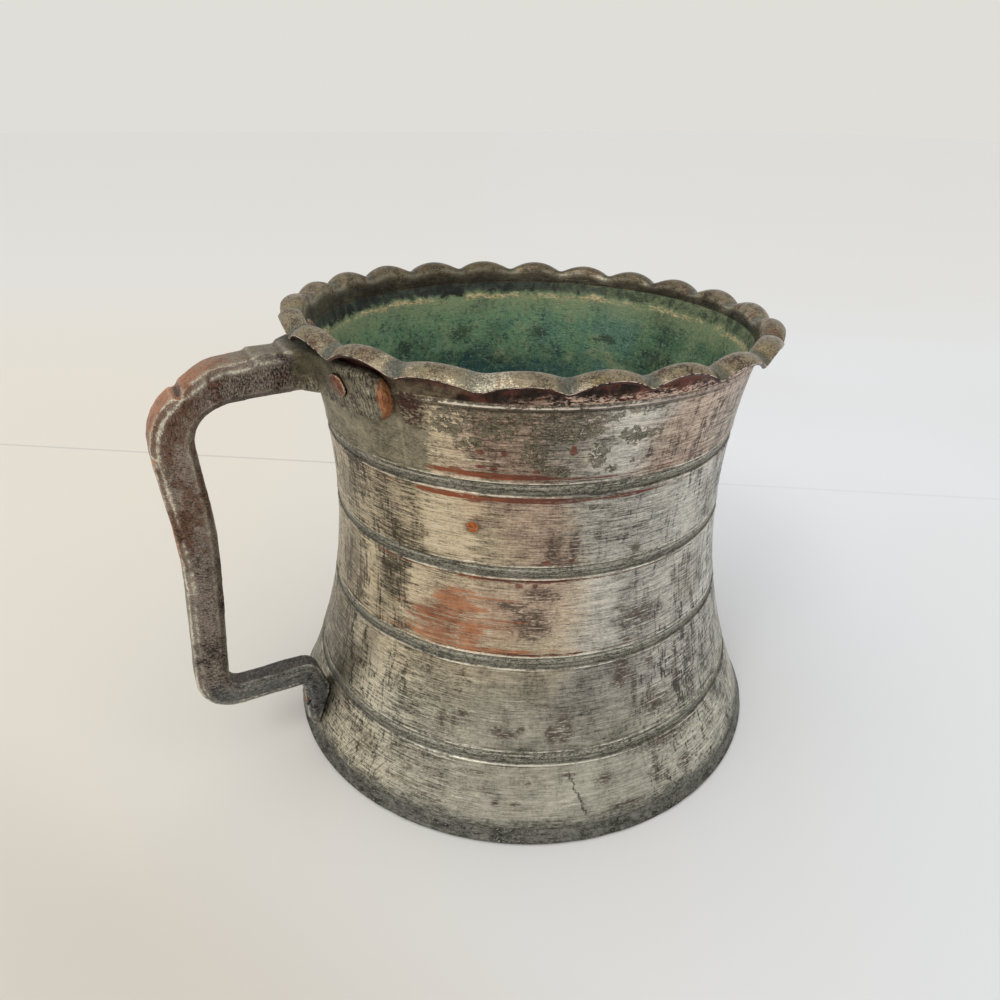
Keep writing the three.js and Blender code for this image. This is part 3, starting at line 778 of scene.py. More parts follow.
def tin(g, turn, n):
    """The worn tin: pale where it is worn bright, dark where it is dull, with fine lines brushed round it;
    its lightness also holds painted shade and painted highlight.
    """
    h = g.z
    shade = g.attribute("shade")
    lower = g.ramp(h, 48, 44)
    busy = 1 + g.window(turn + n.rag, -50, -11, 3) * 0.5 - g.window(turn, -24, 34, 6) * lower * 0.45
    soft = n.stain * 0.09 + n.broad * 0.05 + n.blot * 0.04
    fine = (n.lines * 0.24 + n.fleck * 0.11 + n.grain * 0.07) * busy
    left = g.ramp(turn + n.stain * 2, -26, -36) * g.ramp(turn + n.stain * 8, -90, -66, 0.2, 1)
    left = left * g.ramp(h, UPPER, UPPER - 1)
    right = g.ramp(turn + n.stain * 3, 24, 50) * g.ramp(turn + n.stain * 8, 86, 60, 0.2, 1)
    strokes = g.ramp(n.down * 0.7 + n.column * 0.55 + n.brush * 0.3, -0.2, 1.7)
    # Lightness: the tin's own wear and patina, with the painted shade and painted highlight of the tone field
    wear_and_painted_light = 0.57 + lower * 0.05 + shade * 0.38 + soft + fine
    wear_and_painted_light = wear_and_painted_light + (left * 0.66 + right * 0.7 + 0.14) * (strokes - 0.35)

    pink = g.window(turn + n.rag + n.broad * 5, -11, 10, 9) * g.ramp(h + n.broad * 4, 46, 62)
    pink = g.high(pink, g.window(turn + n.broad * 6, 30, 76, 10) * g.ramp(h, 92, 99))
    silver = g.window(turn + n.broad * 6 + n.stain * 3, 11, 84, 9) * g.ramp(h, 24, 40)
    green = g.ramp(h + n.broad * 4, 52, 30) * (g.window(turn + n.broad * 6, -34, 84, 10) * 0.4 + 0.6)
    pale, dark = (
        g.layers(TIN.cream[at], (green * 0.9, TIN.green[at]), (silver, TIN.silver[at]), (pink, TIN.pink[at]))
        for at in (0, 1)
    )
    glints = g.ramp(n.hair * 0.8 + n.comb * 0.6 + n.fleck * 0.2 + shade * 0.5, -1.3, -2.1)
    pits = g.ramp(n.fleck * 0.8 + n.hair * 0.4 + n.stain * 0.3 + shade * 0.2, 1.5, 1.9)
    scratched = g.window(turn + n.rag, -50, -32, 2) * g.ramp(h, 21, 20)
    scratched = g.high(scratched, g.patch("cut", n.blot * 0.2, 0.3))
    foot = g.ramp(h + n.comb * 0.9 + n.blot * 0.9 + n.stain * 0.8, 7.4, 4.6)
    crack = g.near(turn - 11.5 - (19 - h) * 0.32 + n.blot * 0.55, 0, 0.42) * g.window(h, 6.5, 18.5, 0.8)
    color = g.layers(
        g.mix(wear_and_painted_light, pale, dark),
        (glints * 0.65, TIN.shine),
        (pits * 0.8, dark),
        (scratched * g.ramp(n.scratch + n.down * 0.3, 0.5, 1.1) * 0.55, TIN.scratch),
        (foot * 0.85, g.blend(n.fleck + n.brush * 0.5, -1, 1.4, TIN.foot)),
        (crack * 0.85, TIN.crack),
    )
    return color, wear_and_painted_light, pits


MARK = palette(
    halo=(196, 156, 128), copper=(196, 138, 104, 128, 76, 56), ring=(86, 72, 66),
    dot=(206, 124, 72, 146, 84, 56), plum=(92, 84, 74, 86, 72, 66), grey=(120, 110, 94, 74, 68, 58),
    spot=(134, 72, 56, 86, 52, 42), seam=(152, 90, 64, 112, 72, 62), seam_pit=(84, 58, 50),
)


def marks(g, turn, n, color):
    """Copper showing through in torn stripes, dark marks with torn edges, grey fields and small red spots."""
    torn = n.hair * 0.12 + n.brush * 0.3 + n.comb * 0.25
    halo = g.patch("halo", torn * 0.5 + n.blot * 0.1, 0.35) * g.ramp(n.lines, -0.6, 0.5)
    copper = g.patch("copper", torn + n.blot * 0.12, 0.13)
    striped = copper * g.ramp(n.comb * 0.8 + n.hair * 0.9, 1.3, 0.1)
    ring = g.patch("dot", n.fleck * 0.25 + n.blot * 0.2, 0.3, 1.35)
    dot = g.patch("dot", n.blot * 0.05 + n.grain * 0.05, 0.12)
    plum = g.patch("plum", torn * 1.3 + n.blot * 0.28 + n.fleck * 0.12, 0.16)
    plum = plum * g.ramp(n.lines + n.fleck * 0.5, -1.3, 0.2)
    grey = g.patch("grey", torn * 0.9 + n.blot * 0.3, 0.2) * g.ramp(n.lines + n.down * 0.4, -1.5, 0.5)
    spots = g.patch("spot", torn * 0.7 + n.blot * 0.25, 0.2)
    seams = g.ramp(g.attribute("seam") + n.comb * 0.16 + n.brush * 0.1 + n.blot * 0.1, 0.75, 0.5)
    seams = seams * g.ramp(n.brush * 0.7 + n.fleck * 0.6 + n.comb * 0.4 + g.ramp(turn, 0, 30), 1.3, 0.3)
    seam = g.layers(g.blend(turn + n.stain * 5 + n.lines * 5, -16, 4, MARK.seam),
                    (g.ramp(n.fleck + n.brush, 0.4, 1.6), MARK.seam_pit))
    color = g.layers(
        color,
        (halo * 0.4, MARK.halo),
        (striped * 0.95, g.blend(n.stain * 0.6 + n.lines * 0.6 + n.blot * 0.3, -0.9, 1.2, MARK.copper)),
        (ring * 0.6, MARK.ring),
        (dot, g.blend(n.grain + n.fleck, -1, 1.2, MARK.dot)),
        (plum * 0.9, g.blend(n.stain + n.fleck * 0.4, -0.9, 0.9, MARK.plum)),
        (grey * 0.75, g.blend(n.mottle, -1, 1, MARK.grey)),
        (spots * 0.8, g.blend(n.fleck, -0.8, 1, MARK.spot)),
        (seams, seam),
    )
    return color, copper


OXIDE = palette(
    fill=(128, 124, 102, 84, 82, 68), outline=(62, 58, 46), field=(168, 160, 136, 96, 91, 76),
    trace=(176, 168, 140), crust=(72, 48, 40),
)


def oxide(g, turn, n, color):
    """Under the collar: lace of grey-green blots with dark outlines, and a smooth field by the handle."""
    h = g.z
    blots = g.patch("oxide", n.blot * 0.3 + n.lines * 0.15, 0.3)
    upper = g.ramp(h + n.blot * 1.6 + n.stain * 1.6, 109.5, 114.5)
    upper = upper * g.ramp(turn + n.stain * 5, 46, 20, 0.2, 0.8) * g.ramp(turn, -150, -110, 0.25, 1)
    zone = g.high(blots, upper) * g.ramp(h, UPPER, UPPER + 0.6)
    zone = zone + g.math("MINIMUM", blots, g.ramp(h, UPPER, UPPER - 1))
    scattered = g.ramp(n.stain + n.blot * 0.6, 0.5, 1.8) * g.ramp(h, UPPER + 1, UPPER + 4) * 0.6
    area = g.high(zone, scattered)
    dense = n.lace + (area - 0.5) * 2.4 + n.blot * 0.45
    fills = area * g.ramp(dense, 0.65, 0.95)
    outlines = area * g.ramp(abs(dense - 0.72), 0.42, 0.14)
    field = g.ramp(turn + n.blot * 1.2 + n.rag * 0.45, -21.6, -22.6) * g.ramp(h, UPPER, UPPER + 0.5)
    field = field * g.ramp(turn + n.stain * 9 + n.blot * 5, -112, -96)
    mottle = n.blot * 0.5 + n.stain * 0.4 + n.fleck * 0.35 + n.grain * 0.25
    # Dark crust behind the wing: partly residue, partly painted shadow of the gap between wing and wall
    crust = g.patch("crust", n.blot * 0.3 + n.fleck * 0.15, 0.25) * g.ramp(n.fleck + n.blot, -1.6, 0.2)
    color = g.layers(
        color,
        (fills * 0.85, g.blend(n.fleck + n.blot * 0.5, -1, 1.2, OXIDE.fill)),
        (outlines * 0.9, OXIDE.outline),
        (field * 0.95, g.blend(mottle, -1.5, 1.5, OXIDE.field)),
        (field * g.patch("trace", n.blot * 0.5, 0.4) * 0.5, OXIDE.trace),
        (crust, OXIDE.crust),
    )
    return color, fills, field


BAND = palette(
    hollow=(164, 162, 148, 64, 62, 54), edge=(64, 60, 52), fine=(206, 204, 188), sunk=(50, 46, 40),
    line=(66, 62, 50), shine=(244, 240, 224), below=(70, 62, 54), chipped=(98, 74, 64),
    raised=(250, 242, 228, 190, 172, 162), twin=(84, 74, 72),
)


def bands(g, turn, n, color):
    """The turned lines: a dull speckled hollow, a broken painted highlight along each raised edge and fine
    dark lines beside them.
    """
    h = g.z
    offset = g.attribute("band")
    away = abs(offset)
    hollow = g.ramp(away, BAND_HALF + 0.12, BAND_HALF - 0.12)
    speckle = n.brush * 0.7 + n.fleck * 0.8 + n.grain * 0.7 + n.stain * 0.35
    edges = g.near(away + n.grain * 0.03, BAND_HALF - 0.22, 0.34)
    fine = g.near(offset + n.grain * 0.03, 0.5, 0.2) * g.ramp(n.comb + n.fleck * 0.5, 0.6, -0.6)
    sunk = g.near(offset, -0.3, 0.3) * g.ramp(n.stain + n.comb * 0.5, 0.9, -0.6)
    lines = g.near(away, BAND_HALF + 0.8, 0.24) * g.ramp(n.stain + n.brush * 0.6, -0.8, 0.8)
    # Painted highlight on the raised line beside each band: broken up, and fading away from the middle
    rubbed = g.ramp(n.comb * 0.8 + n.fleck * 0.5 + n.blot * 0.4 + abs(turn + 5) * 0.02, 1, -0.1)

    below = g.near(h, COLLAR - 1, 0.6) * g.ramp(turn + n.blot, -24, -20)
    # Painted highlight along the collar's raised line, broken where it is chipped and dimmer to the right,
    # with fine dark lines either side there
    raised = g.near(h + n.fleck * 0.04, COLLAR, 0.38)
    chips = g.ramp(n.comb * 0.6 + n.blot * 0.5 + n.fleck * 0.6 + g.ramp(turn, -10, -24) * 1.6, 0.8, 0.1)
    right_side = g.ramp(turn + n.stain * 5, 12, 26)
    twin = g.near(h, COLLAR - 0.55, 0.3) + g.near(h, COLLAR + 0.62, 0.3)
    color = g.layers(
        color,
        (hollow * 0.95, g.blend(speckle, -1.8, 2, BAND.hollow)),
        (edges * 0.7, BAND.edge),
        (fine * 0.75, BAND.fine),
        (sunk * 0.75, BAND.sunk),
        (lines * 0.7, BAND.line),
        (g.near(away + n.fleck * 0.02, BAND_HALF + 0.27, 0.24) * rubbed, BAND.shine),
        (below * 0.7, BAND.below),
        (raised * (1 - chips) * 0.6, BAND.chipped),
        (raised * chips, g.mix(right_side, *BAND.raised)),
        (twin * right_side * 0.8, BAND.twin),
    )
    return color, hollow


RIM = palette(
    petal=(158, 144, 118, 66, 56, 46), brown=(122, 88, 66), olive=(140, 126, 80),
    valley=(116, 118, 106, 78, 82, 74), speck=(214, 206, 178), pit=(44, 40, 32), rubbed=(226, 216, 190),
    slope=(116, 108, 92, 50, 50, 44), line=(190, 184, 162), back=(66, 60, 50),
    maroon=(104, 64, 54, 44, 36, 32), pale=(212, 184, 166), under=(124, 112, 92, 78, 66, 54),
    lip=(98, 60, 54, 52, 38, 36), burr=(236, 222, 202), low_burr=(132, 112, 110),
)


def rim(g, turn, n, color):
    """The rim: fine-grained olive petals, grey valleys, dark grey inner slopes and a maroon edge below, with
    painted highlights on the near petals and the crest and painted shade on the far petals.
    """
    h = g.z
    side, sheet, petal, lip, burr = map(g.attribute, ("side", "sheet", "petal", "lip", "burr"))
    fine = n.grain * 0.7 + n.fleck * 0.45
    skirt = g.near(petal, 0.42, 0.3) * 0.8 + g.ramp(sheet, 0.7, 0.9) * 0.4
    # Painted highlight: a pale speckled patch in the valleys of the near petals
    rubbed = g.near(turn + n.blot, -6, 10) * g.ramp(petal, 0.9, 0.4) * g.ramp(fine + n.comb * 0.3, -0.5, 0.9)
    slope = g.blend(n.blot * 0.7 + n.stain * 0.5 + fine * 0.3, -1.4, 1.2, RIM.slope)
    # Painted highlight: a thin pale line along the crest of the bend
    line = g.near(sheet, 0.35, 0.07) * g.ramp(n.mottle, 1.2, -0.6)
    petals = g.layers(
        g.blend(fine + n.blot * 0.6, -1.3, 1.4, RIM.petal),
        (g.ramp(n.stain + n.blot * 0.5, 0.2, 1.6) * 0.5, RIM.brown),
        (g.ramp(n.stain, -0.4, -1.6) * 0.4, RIM.olive),
        (g.ramp(petal + n.blot * 0.05, 0.4, 0.12) * 0.8, g.blend(fine, -1.4, 1.4, RIM.valley)),
        (g.ramp(fine * 1.2 - n.blot * 0.3 + skirt, 1.5, 2.1) * 0.75, RIM.speck),
        (g.ramp(fine * 1.1 + n.blot * 0.3, -1.3, -1.9) * 0.8, RIM.pit),
        (rubbed * 0.75, RIM.rubbed),
        (g.ramp(sheet + n.blot * 0.02, 0.34, 0.24), slope),
        (line * 0.55, RIM.line),
        # Painted shade: the petals darker towards the back
        (g.ramp(to_back(g.x, g.y) + n.blot * 3, 0, 50) * 0.5, RIM.back),
    )

    under = g.ramp(h, COLLAR + 0.6, COLLAR + 1) * g.ramp(side, 0.6, 0.3)
    pale = g.ramp(h + n.blot * 0.6 + n.fleck * 0.3, RIM_START + 1.6, RIM_START - 0.4)
    pale = pale * g.window(turn + n.stain * 4, 4, 88, 10)
    brown = g.window(turn + n.stain * 3, -100, -14.5, 2.5) * g.ramp(h, RIM_START + 3, RIM_START + 1)
    below = g.layers(
        g.blend(n.stain + n.blot * 0.6 + n.lines * 0.3, -1, 0.9, RIM.maroon),
        (pale * g.ramp(n.lines * 0.6 + n.fleck * 0.9, 0.5, -0.6), RIM.pale),
        (brown, g.blend(n.mottle, -1.2, 1.2, RIM.under)),
    )
    broken = g.ramp(n.comb * 0.5 + n.blot * 0.5 + n.fleck * 0.8, 0.7, -0.5)
    return g.layers(
        color,
        (g.ramp(side, 0.55, 0.95), petals),
        (under, below),
        (lip, g.blend(n.mottle, -1.2, 1, RIM.lip)),
        (g.ramp(burr, 0.45, 0.8) * broken, RIM.burr),
        (g.ramp(burr, -0.35, -0.7) * g.ramp(n.blot, -1, 0.4) * 0.7, RIM.low_burr),
    )


GREEN = palette(
    depth=(44, 82, 76, 116, 154, 116), moss=(70, 98, 66), cloud=(164, 176, 140), deep=(32, 60, 56),
    teal=(44, 96, 104), ochre=(110, 104, 74), sea=(84, 132, 124), speck=(36, 58, 46),
    pale_speck=(160, 182, 150), blotch=(40, 52, 42), crust=(38, 62, 50), pale_crust=(154, 178, 148),
    high=(150, 158, 118), tide=(222, 208, 164, 146, 122, 84), soot=(70, 80, 68, 36, 40, 36),
    neck=(124, 134, 100, 64, 78, 60),
)


def verdigris(g, n, color):
    """Inside: clouds of green, teal and darker below, with a thin cream tide line under a neck that is dark
    grey to the left and middle.
    """
    h = g.z
    across = to_right(g.x, g.y)
    inner = g.ramp(g.attribute("side"), 1.4, 1.9)
    cloud = n.stain * 0.6 + n.blot * 0.6 + n.broad * 0.3
    fine = n.fleck * 0.5 + n.grain * 0.5
    crust = n.lace * 0.9 + n.blot * 0.5
    teal = g.ramp(abs(across - 4) + n.stain * 8, 44, 16) * g.ramp(h + n.stain * 5, 96, 84)
    tide = g.near(h + n.blot * 0.45 + n.stain * 0.6 + n.lace * 0.2, TIDE, 1.2)
    tide = tide * g.ramp(n.stain + n.comb * 0.6, 1.2, -0.6)
    neck = g.ramp(h + n.blot * 0.5 + n.stain * 0.5, TIDE + 0.6, TIDE + 2.2)
    # The neck above the tide line: dark grey to the left and middle, green-grey to the right
    darker_left = g.ramp(across + n.stain * 8, 34, 4)
    pale = g.blend(n.mottle, -1.2, 1.2, GREEN.neck)
    dark = g.blend(n.blot + n.stain * 0.6, -1.2, 1.2, GREEN.soot)
    green = g.layers(
        g.blend(h + n.broad * 8 + n.stain * 6, 66, 110, GREEN.depth),
        (g.ramp(across + n.stain * 10, 10, 52) * 0.5, GREEN.moss),
        (g.ramp(cloud + fine * 0.4, 0.1, 1.5) * 0.85, GREEN.cloud),
        (g.ramp(cloud + n.blot * 0.2, -0.1, -1.4) * 0.9, GREEN.deep),
        (teal * 0.5, GREEN.teal),
        (g.ramp(n.blot * 0.8 - n.stain * 0.6, 0.6, 1.8) * 0.55, GREEN.ochre),
        (g.ramp(n.broad - n.stain * 0.6 + n.blot * 0.4, 0.4, 1.6) * 0.5, GREEN.sea),
        (g.ramp(fine + n.blot * 0.4, 0.2, 1.5) * 0.7, GREEN.speck),
        (g.ramp(fine - n.blot * 0.3, 0.4, 1.5) * 0.6, GREEN.pale_speck),
        (g.patch("blotch", n.blot * 0.4 + n.fleck * 0.2, 0.35, 0.75) * 0.7, GREEN.blotch),
        (g.ramp(crust, 0.4, 1.5) * 0.6, GREEN.crust),
        (g.ramp(crust, -0.6, -1.7) * 0.5, GREEN.pale_crust),
        (g.ramp(h + n.blot * 1.2 + n.stain, 105, 113) * 0.5, GREEN.high),
        (tide, g.blend(n.fleck + n.blot * 0.5, -0.8, 1.4, GREEN.tide)),
        (neck, g.mix(darker_left, pale, dark)),
    )
    return g.mix(inner, color, green), inner


def wall_material():
    g = surface("tinned_copper")
    middle = math.radians(MIDDLE_AZIMUTH)
    ahead = g.x * math.cos(middle) + g.y * math.sin(middle)
    beside = g.y * math.cos(middle) - g.x * math.sin(middle)
    turn = g.angle(beside, ahead)
    n = g.textures(WALL_TEXTURES)
    n.scratch = g.noise(7, 0.5, 3, 0.6, seed=47, height=g.z - turn * 1.6)
    n.lines = n.hair * 0.5 + n.brush * 0.6 + n.comb * 0.35
    n.rag = n.comb * 2.4 + n.brush * 1.6
    n.mottle = n.blot + n.fleck * 0.4
    color, wear_and_painted_light, pits = tin(g, turn, n)
    color, copper = marks(g, turn, n, color)
    color, freckles, field = oxide(g, turn, n, color)
    color, hollow = bands(g, turn, n, color)
    color = rim(g, turn, n, color)
    color, inner = verdigris(g, n, color)
    dull = g.high(g.high(freckles, field), hollow * 0.7)
    metal = g.ramp(inner, 0, 1, 0.94, 0.1) * g.ramp(dull, 0, 1, 1, 0.65)
    shiny = g.ramp(g.attribute("side"), 0.3, 0.6) * g.ramp(inner, 0.5, 0)
    roughness = 0.3 - shiny * 0.06 + dull * 0.16 + inner * 0.3 + g.ramp(wear_and_painted_light, 0.2, 0.9) * 0.16
    relief = n.hair * 0.004 + n.brush * 0.008 + n.comb * 0.008 + n.grain * 0.004
    relief = relief + n.fleck * 0.008 * (1 + inner * 2) + n.stain * 0.012 + inner * n.blot * 0.03
    relief = relief - copper * 0.03 - freckles * 0.03 - pits * 0.03
    relief = relief + g.ramp(g.attribute("dot"), 1.5, 0.5) * 0.25
    return g.finish(color, metal, roughness, relief)


HANDLE = palette(
    side=(170, 156, 144, 46, 40, 38), red=(126, 82, 58), low=(122, 128, 130, 44, 47, 47),
    gleam=(222, 226, 224), dull=(142, 130, 106, 80, 72, 58), copper=(206, 134, 84, 122, 70, 42),
    stripe=(132, 84, 52), worn=(238, 233, 212), inside=(62, 56, 50), sunk=(42, 38, 32),
    patina=(174, 166, 144, 46, 44, 37), scratch=(226, 220, 198), smooth=(128, 124, 100, 78, 74, 60),
    tip=(206, 146, 104, 132, 84, 56),
)


def handle_material():
    """Tinned forging: filed across, brown and dark, with bare copper outside and pale edges, worn bright and
    with painted highlights on them.
    """
    g = surface("forged_copper")
    ridge, flank, outward = map(g.attribute, ("ridge", "flank", "outward"))
    n = g.textures(HANDLE_TEXTURES)
    lying = g.noise(1, 0.22, 3, 0.65, seed=8, height=g.z + g.x * 0.35)
    on_arm = g.ramp(g.z, 96, 106)
    hatch = lying * (1 - on_arm) * 0.75 + n.standing * on_arm * 0.75 + n.fleck * 0.6

    # Side faces: grey purple cross-hatch, red brown round the shoulder
    bend = g.ramp(g.x, -76, -94) * g.ramp(g.z, 58, 84)
    red = g.ramp(n.blot * 0.6 + n.stain * 0.5 + bend * 1.7, 0.8, 1.9) * g.ramp(hatch, 1.3, -0.6)
    low = g.ramp(g.z, 34, 26)
    gleam = g.near(flank + n.blot * 0.05, 0.62, 0.3) * low * g.ramp(hatch + n.blot * 0.6, 0.2, -1.2)

    # Outside face: copper from the neck's step to below the shoulder, olive grey beyond
    outer = g.ramp(outward, 0.45, 0.8) * g.ramp(flank, 0.75, 0.5)
    loop = g.angle(g.z - LOOP_CENTRE[2], g.x - LOOP_CENTRE[0])
    bare = g.ramp(loop + n.blot * 5, 84, 104) * g.ramp(loop + n.blot * 6, 176, 158)
    dull = g.blend(hatch + n.blot * 0.6, -1.4, 1.5, HANDLE.dull)
    copper = g.blend(hatch * 0.6 + n.blot * 0.5 + n.stain * 0.3, -1.2, 1.3, HANDLE.copper)
    stripe = g.near(flank + n.blot * 0.06, 0.5, 0.34) * g.ramp(outward, 0.2, 0.6) * bare
    stripe = stripe * g.ramp(n.blot + n.fleck * 0.4, 0.9, -0.3)

    # Pale toothed edges, worn bright and with painted highlights, dark hollows and a dark inside face
    worn = g.ramp(ridge + n.blot * 0.03 + hatch * 0.05 + outward * 0.02, 0.06, 0.11)
    worn = worn * g.ramp(outward, -0.5, 0.3, 0.4, 1)
    worn = worn * g.ramp(n.blot * 0.6 + n.stain * 0.5, 1.1, -0.6) * g.ramp(flank, 0.25, 0.6, 0.3, 1)
    inside = g.ramp(outward, -0.5, -0.85)
    sunk = g.ramp(ridge + n.fleck * 0.01, -0.04, -0.13)

    # Saddle: olive and black with pale scratches, smooth near the arm, copper at the ends of the wings
    wing = g.ramp(g.radius() + n.blot * 0.3, 68.5, 66.5) * g.ramp(g.z, 100, 104)
    round_wall = g.angle(abs(g.y), g.x * -1)
    scratch = g.noise(0.5, 2.4, 3, 0.65, seed=19, height=g.z + round_wall * 0.9)
    mottle = scratch * 0.6 + n.blot * 0.5 + n.fleck * 0.4
    by_arm = g.ramp(round_wall + n.blot * 2, 23, 15) * g.ramp(g.z + n.blot, 112, 116)
    patina = g.layers(
        g.blend(mottle, -1.5, 1.3, HANDLE.patina),
        (g.ramp(mottle - round_wall * 0.02 + 0.5, -1, -1.9) * 0.8, HANDLE.scratch),
        (by_arm, g.blend(n.blot * 0.6 + n.fleck * 0.5, -1.4, 1.4, HANDLE.smooth)),
        (g.ramp(round_wall + n.blot * 0.5, 29.2, 30.4), g.blend(mottle, -1.2, 1.4, HANDLE.tip)),
    )
    color = g.layers(
        g.blend(hatch + n.stain * 0.35 + n.blot * 0.3, -1.4, 1.4, HANDLE.side),
        (red * g.ramp(g.z, 40, 70) * 0.65, HANDLE.red),
        (low * 0.75, g.blend(hatch + n.blot * 0.5, -1.2, 1.4, HANDLE.low)),
        (gleam * 0.9, HANDLE.gleam),
        (outer * 0.92, g.mix(bare, dull, copper)),
        (stripe * 0.6, HANDLE.stripe),
        (worn * 0.95, HANDLE.worn),
        (inside * 0.6, HANDLE.inside),
        (sunk * 0.9, HANDLE.sunk),
        (wing, patina),
    )
    roughness = 0.34 + g.ramp(hatch, -1, 1) * 0.16 - g.high(worn, low) * 0.1 - outer * 0.1
    relief = hatch * 0.05 + n.fleck * 0.015 + n.blot * 0.04 + wing * scratch * 0.03
    return g.finish(color, 0.88 - sunk * 0.4, roughness, relief)


RIVET = palette(
    head=(142, 116, 100, 72, 56, 50), right=(160, 92, 66, 92, 56, 46), crack=(196, 134, 104),
    worn=(214, 198, 172), sunk=(40, 34, 30),
)


def rivet_material():
    """Peened copper: brown, with a redder right half, a pale worn rim and a crack across the near head."""
    g = surface("rivet_copper")
    ridge = g.attribute("ridge")
    n = g.textures(RIVET_TEXTURES)
    place = math.radians(180 + WING_RIVET_TURN)
    slanted = g.y * math.cos(place) - g.x * math.sin(place) + (g.z - WING_RIVET_HEIGHT) * 0.5
    mottle = n.blot + n.fleck * 0.5
    color = g.layers(
        g.blend(mottle, -1.3, 1.3, RIVET.head),
        (g.ramp(slanted + n.blot * 0.3, 0, 0.7) * 0.85, g.blend(mottle, -1.2, 1.2, RIVET.right)),
        (g.near(slanted + n.blot * 0.12, 0.15, 0.3) * 0.8, RIVET.crack),
        (g.ramp(ridge + n.blot * 0.02 + n.fleck * 0.02, 0.04, 0.12) * 0.7, RIVET.worn),
        (g.ramp(ridge, -0.03, -0.12) * 0.9, RIVET.sunk),
    )
    return g.finish(color, 0.88, 0.4, n.blot * 0.05 + n.fleck * 0.02)


PAN = palette(
    edge=(132, 131, 122, 48, 46, 41), fleck=(190, 188, 174), bottom=(150, 142, 124, 96, 72, 56),
    green=(50, 80, 72, 108, 128, 100),
)


def base_material():
    """Dull tin on the lap, worn through under the foot, and green inside."""
    g = surface("base_copper")
    n = g.textures(BASE_TEXTURES)
    out = g.radius()
    inside = g.ramp(g.z, 1, 1.15) * g.ramp(out, 71, 70)
    color = g.layers(
        g.blend(n.blot + n.fleck * 0.5 + n.stain * 0.4, -1.6, 1.5, PAN.edge),
        (g.ramp(n.fleck + n.blot * 0.5, 1, 1.7) * 0.6, PAN.fleck),
        (g.ramp(g.z, 0.5, 0.1) * g.ramp(out, 72.5, 70),
         g.blend(n.stain * 0.6 + n.scratch * 0.6, -0.7, 0.9, PAN.bottom)),
        (inside, g.blend(n.stain * 0.5 + n.blot * 0.5 + n.fleck * 0.5, -1.5, 1.5, PAN.green)),
    )
    relief = n.blot * 0.05 + n.fleck * 0.03 + n.scratch * 0.03
    return g.finish(color, 0.85 - inside * 0.7, 0.46 + inside * 0.3, relief)


# Building it

rivet_finish = rivet_material()
pieces = [
    (wall_piece(), "body", "tinned_copper", wall_material()),
    (base_piece(), "base", "base_copper", base_material()),
    (handle_piece(), "handle", "forged_copper", handle_material()),
]
for node in ("rivet_near", "rivet_far", "rivet_lower"):
    pieces.append((rivet_piece(node, "tankard_" + node), node, "rivet_copper", rivet_finish))

for made, node, slot, material in pieces:
    made.data.materials.append(material)
    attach(made, "root")
    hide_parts(node)

# Floor, lights and camera

PAPER = palette(
    across=(233, 228, 218, 234, 238, 244), front=(214, 208, 198), cloud=(226, 224, 220),
    far=(232, 233, 232), seam=(184, 181, 178), room=(232, 230, 226), backdrop=(224, 222, 216),
)
PAPER_SIZE = 6000.0
PAPER_LEVEL = -0.05
DAYLIGHT = (1.0, 0.99, 0.97)
LENS = 27.04
SENSOR = 36.0
CAMERA_PLACE = (-103.15, -178.66, 171.0)
CAMERA_AHEAD = (0.4142, 0.7843, -0.4619)
CAMERA_RIGHT = (0.8843, -0.4670, 0.0)
CAMERA_ROLL = math.radians(0.70)


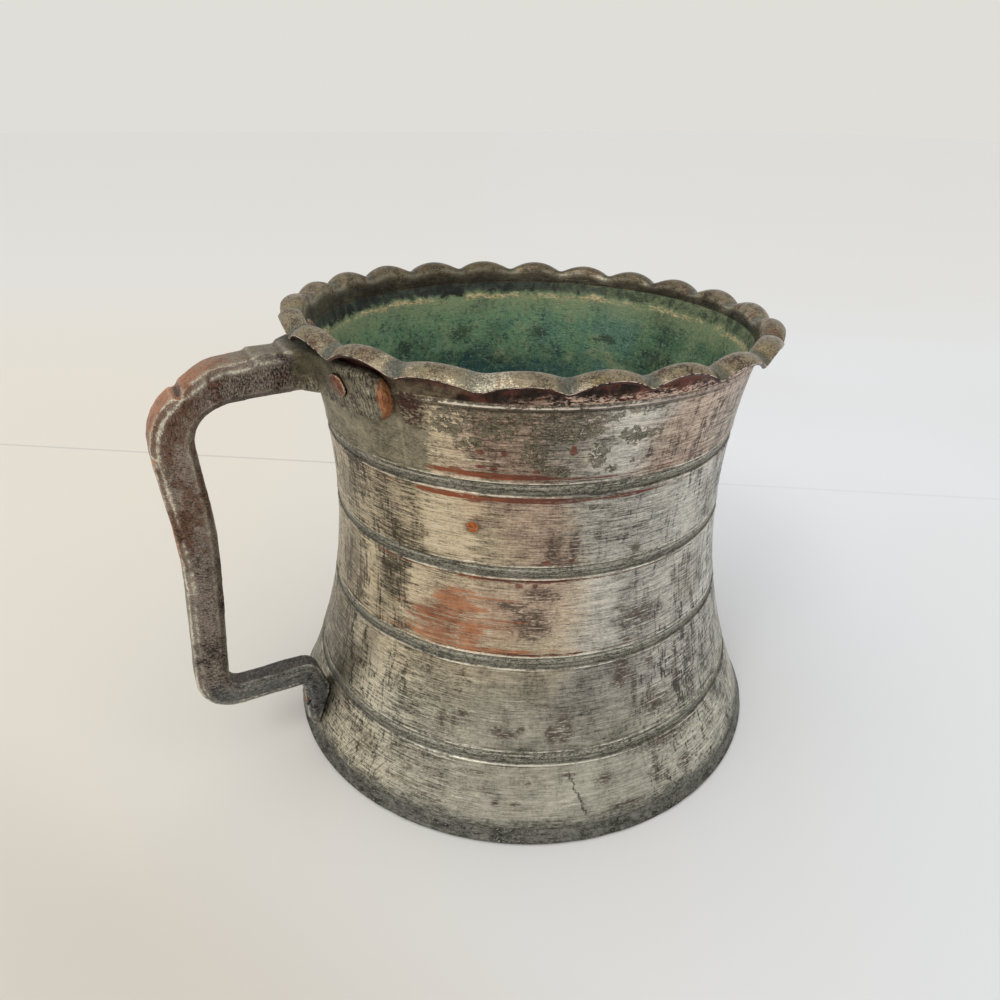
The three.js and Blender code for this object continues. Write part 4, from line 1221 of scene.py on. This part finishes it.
def floor_object():
    """A pale sheet under the object, and a seam behind it where a second sheet starts."""
    corners = [(x * PAPER_SIZE, y * PAPER_SIZE, PAPER_LEVEL) for x, y in ((-1, -1), (1, -1), (1, 1), (-1, 1))]
    made = mesh_object("floor", corners, [(0, 1, 2, 3)])
    g = surface("pale_paper")
    deep = to_back(g.x, g.y)
    across = to_right(g.x, g.y)
    soft = g.noise(260, 260, 2, 0.5)
    seam = g.near(deep + across * 0.1, 154, 1.5)
    color = g.layers(
        g.blend(across, -180, 120, PAPER.across),
        (g.ramp(deep + across * 0.45, -95, -150) * 0.75, PAPER.front),
        (g.ramp(soft, -1, 1) * 0.2, PAPER.cloud),
        (g.ramp(deep, 170, 700) * 0.85, PAPER.far),
        (seam * g.ramp(across, 80, 20, 0.15, 0.5), PAPER.seam),
    )
    made.data.materials.append(g.finish(color, 0.0, 0.9, soft * 0.01))


def light(name, kind, place, target, power, **settings):
    """A light at a place in metres, shining at a target."""
    data = bpy.data.lights.new(name, kind)
    data.energy = power
    data.color = DAYLIGHT
    for key, value in settings.items():
        setattr(data, key, value)
    made = linked(name, data)
    made.location = place
    made.rotation_euler = (Vector(target) - Vector(place)).to_track_quat("-Z", "Y").to_euler()


def world_light():
    """A pale room that lights the object, with paper behind it where the camera looks past the floor."""
    world = bpy.data.worlds.new("room")
    bpy.context.scene.world = world
    g = Graph(world)
    rays = [g.node("ShaderNodeLightPath", {}, ray) for ray in ("Is Camera Ray", "Is Transmission Ray")]
    seen = g.high(*rays)
    room = g.node("ShaderNodeBackground", {"Color": PAPER.room, "Strength": 0.98})
    backdrop = g.node("ShaderNodeBackground", {"Color": PAPER.backdrop, "Strength": 1.0})
    g.node("ShaderNodeOutputWorld", {0: g.node("ShaderNodeMixShader", {0: seen, 1: room, 2: backdrop})})


def photo_camera():
    data = bpy.data.cameras.new("camera")
    data.lens = LENS
    data.sensor_width = SENSOR
    data.clip_start = 0.005
    data.clip_end = 50.0
    made = linked("camera", data)
    ahead = Vector(CAMERA_AHEAD).normalized()
    right = Vector(CAMERA_RIGHT).normalized()
    up = right.cross(ahead)
    across = math.cos(CAMERA_ROLL) * right + math.sin(CAMERA_ROLL) * up
    upright = -math.sin(CAMERA_ROLL) * right + math.cos(CAMERA_ROLL) * up
    turned = Matrix((across, upright, -ahead)).transposed().to_4x4()
    turned.translation = Vector(CAMERA_PLACE) * MM
    made.matrix_world = turned
    bpy.context.scene.camera = made


floor_object()
world_light()
light("sky", "SUN", (-0.5, -0.15, 1.0), (0.0, 0.0, 0.0), 0.35, angle=math.radians(50.0))
light("window", "AREA", (-0.95, -0.55, 1.25), (0.0, 0.0, 0.06), 3.2, shape="DISK", size=0.45)
photo_camera()
bpy.context.scene.view_settings.view_transform = "Standard"
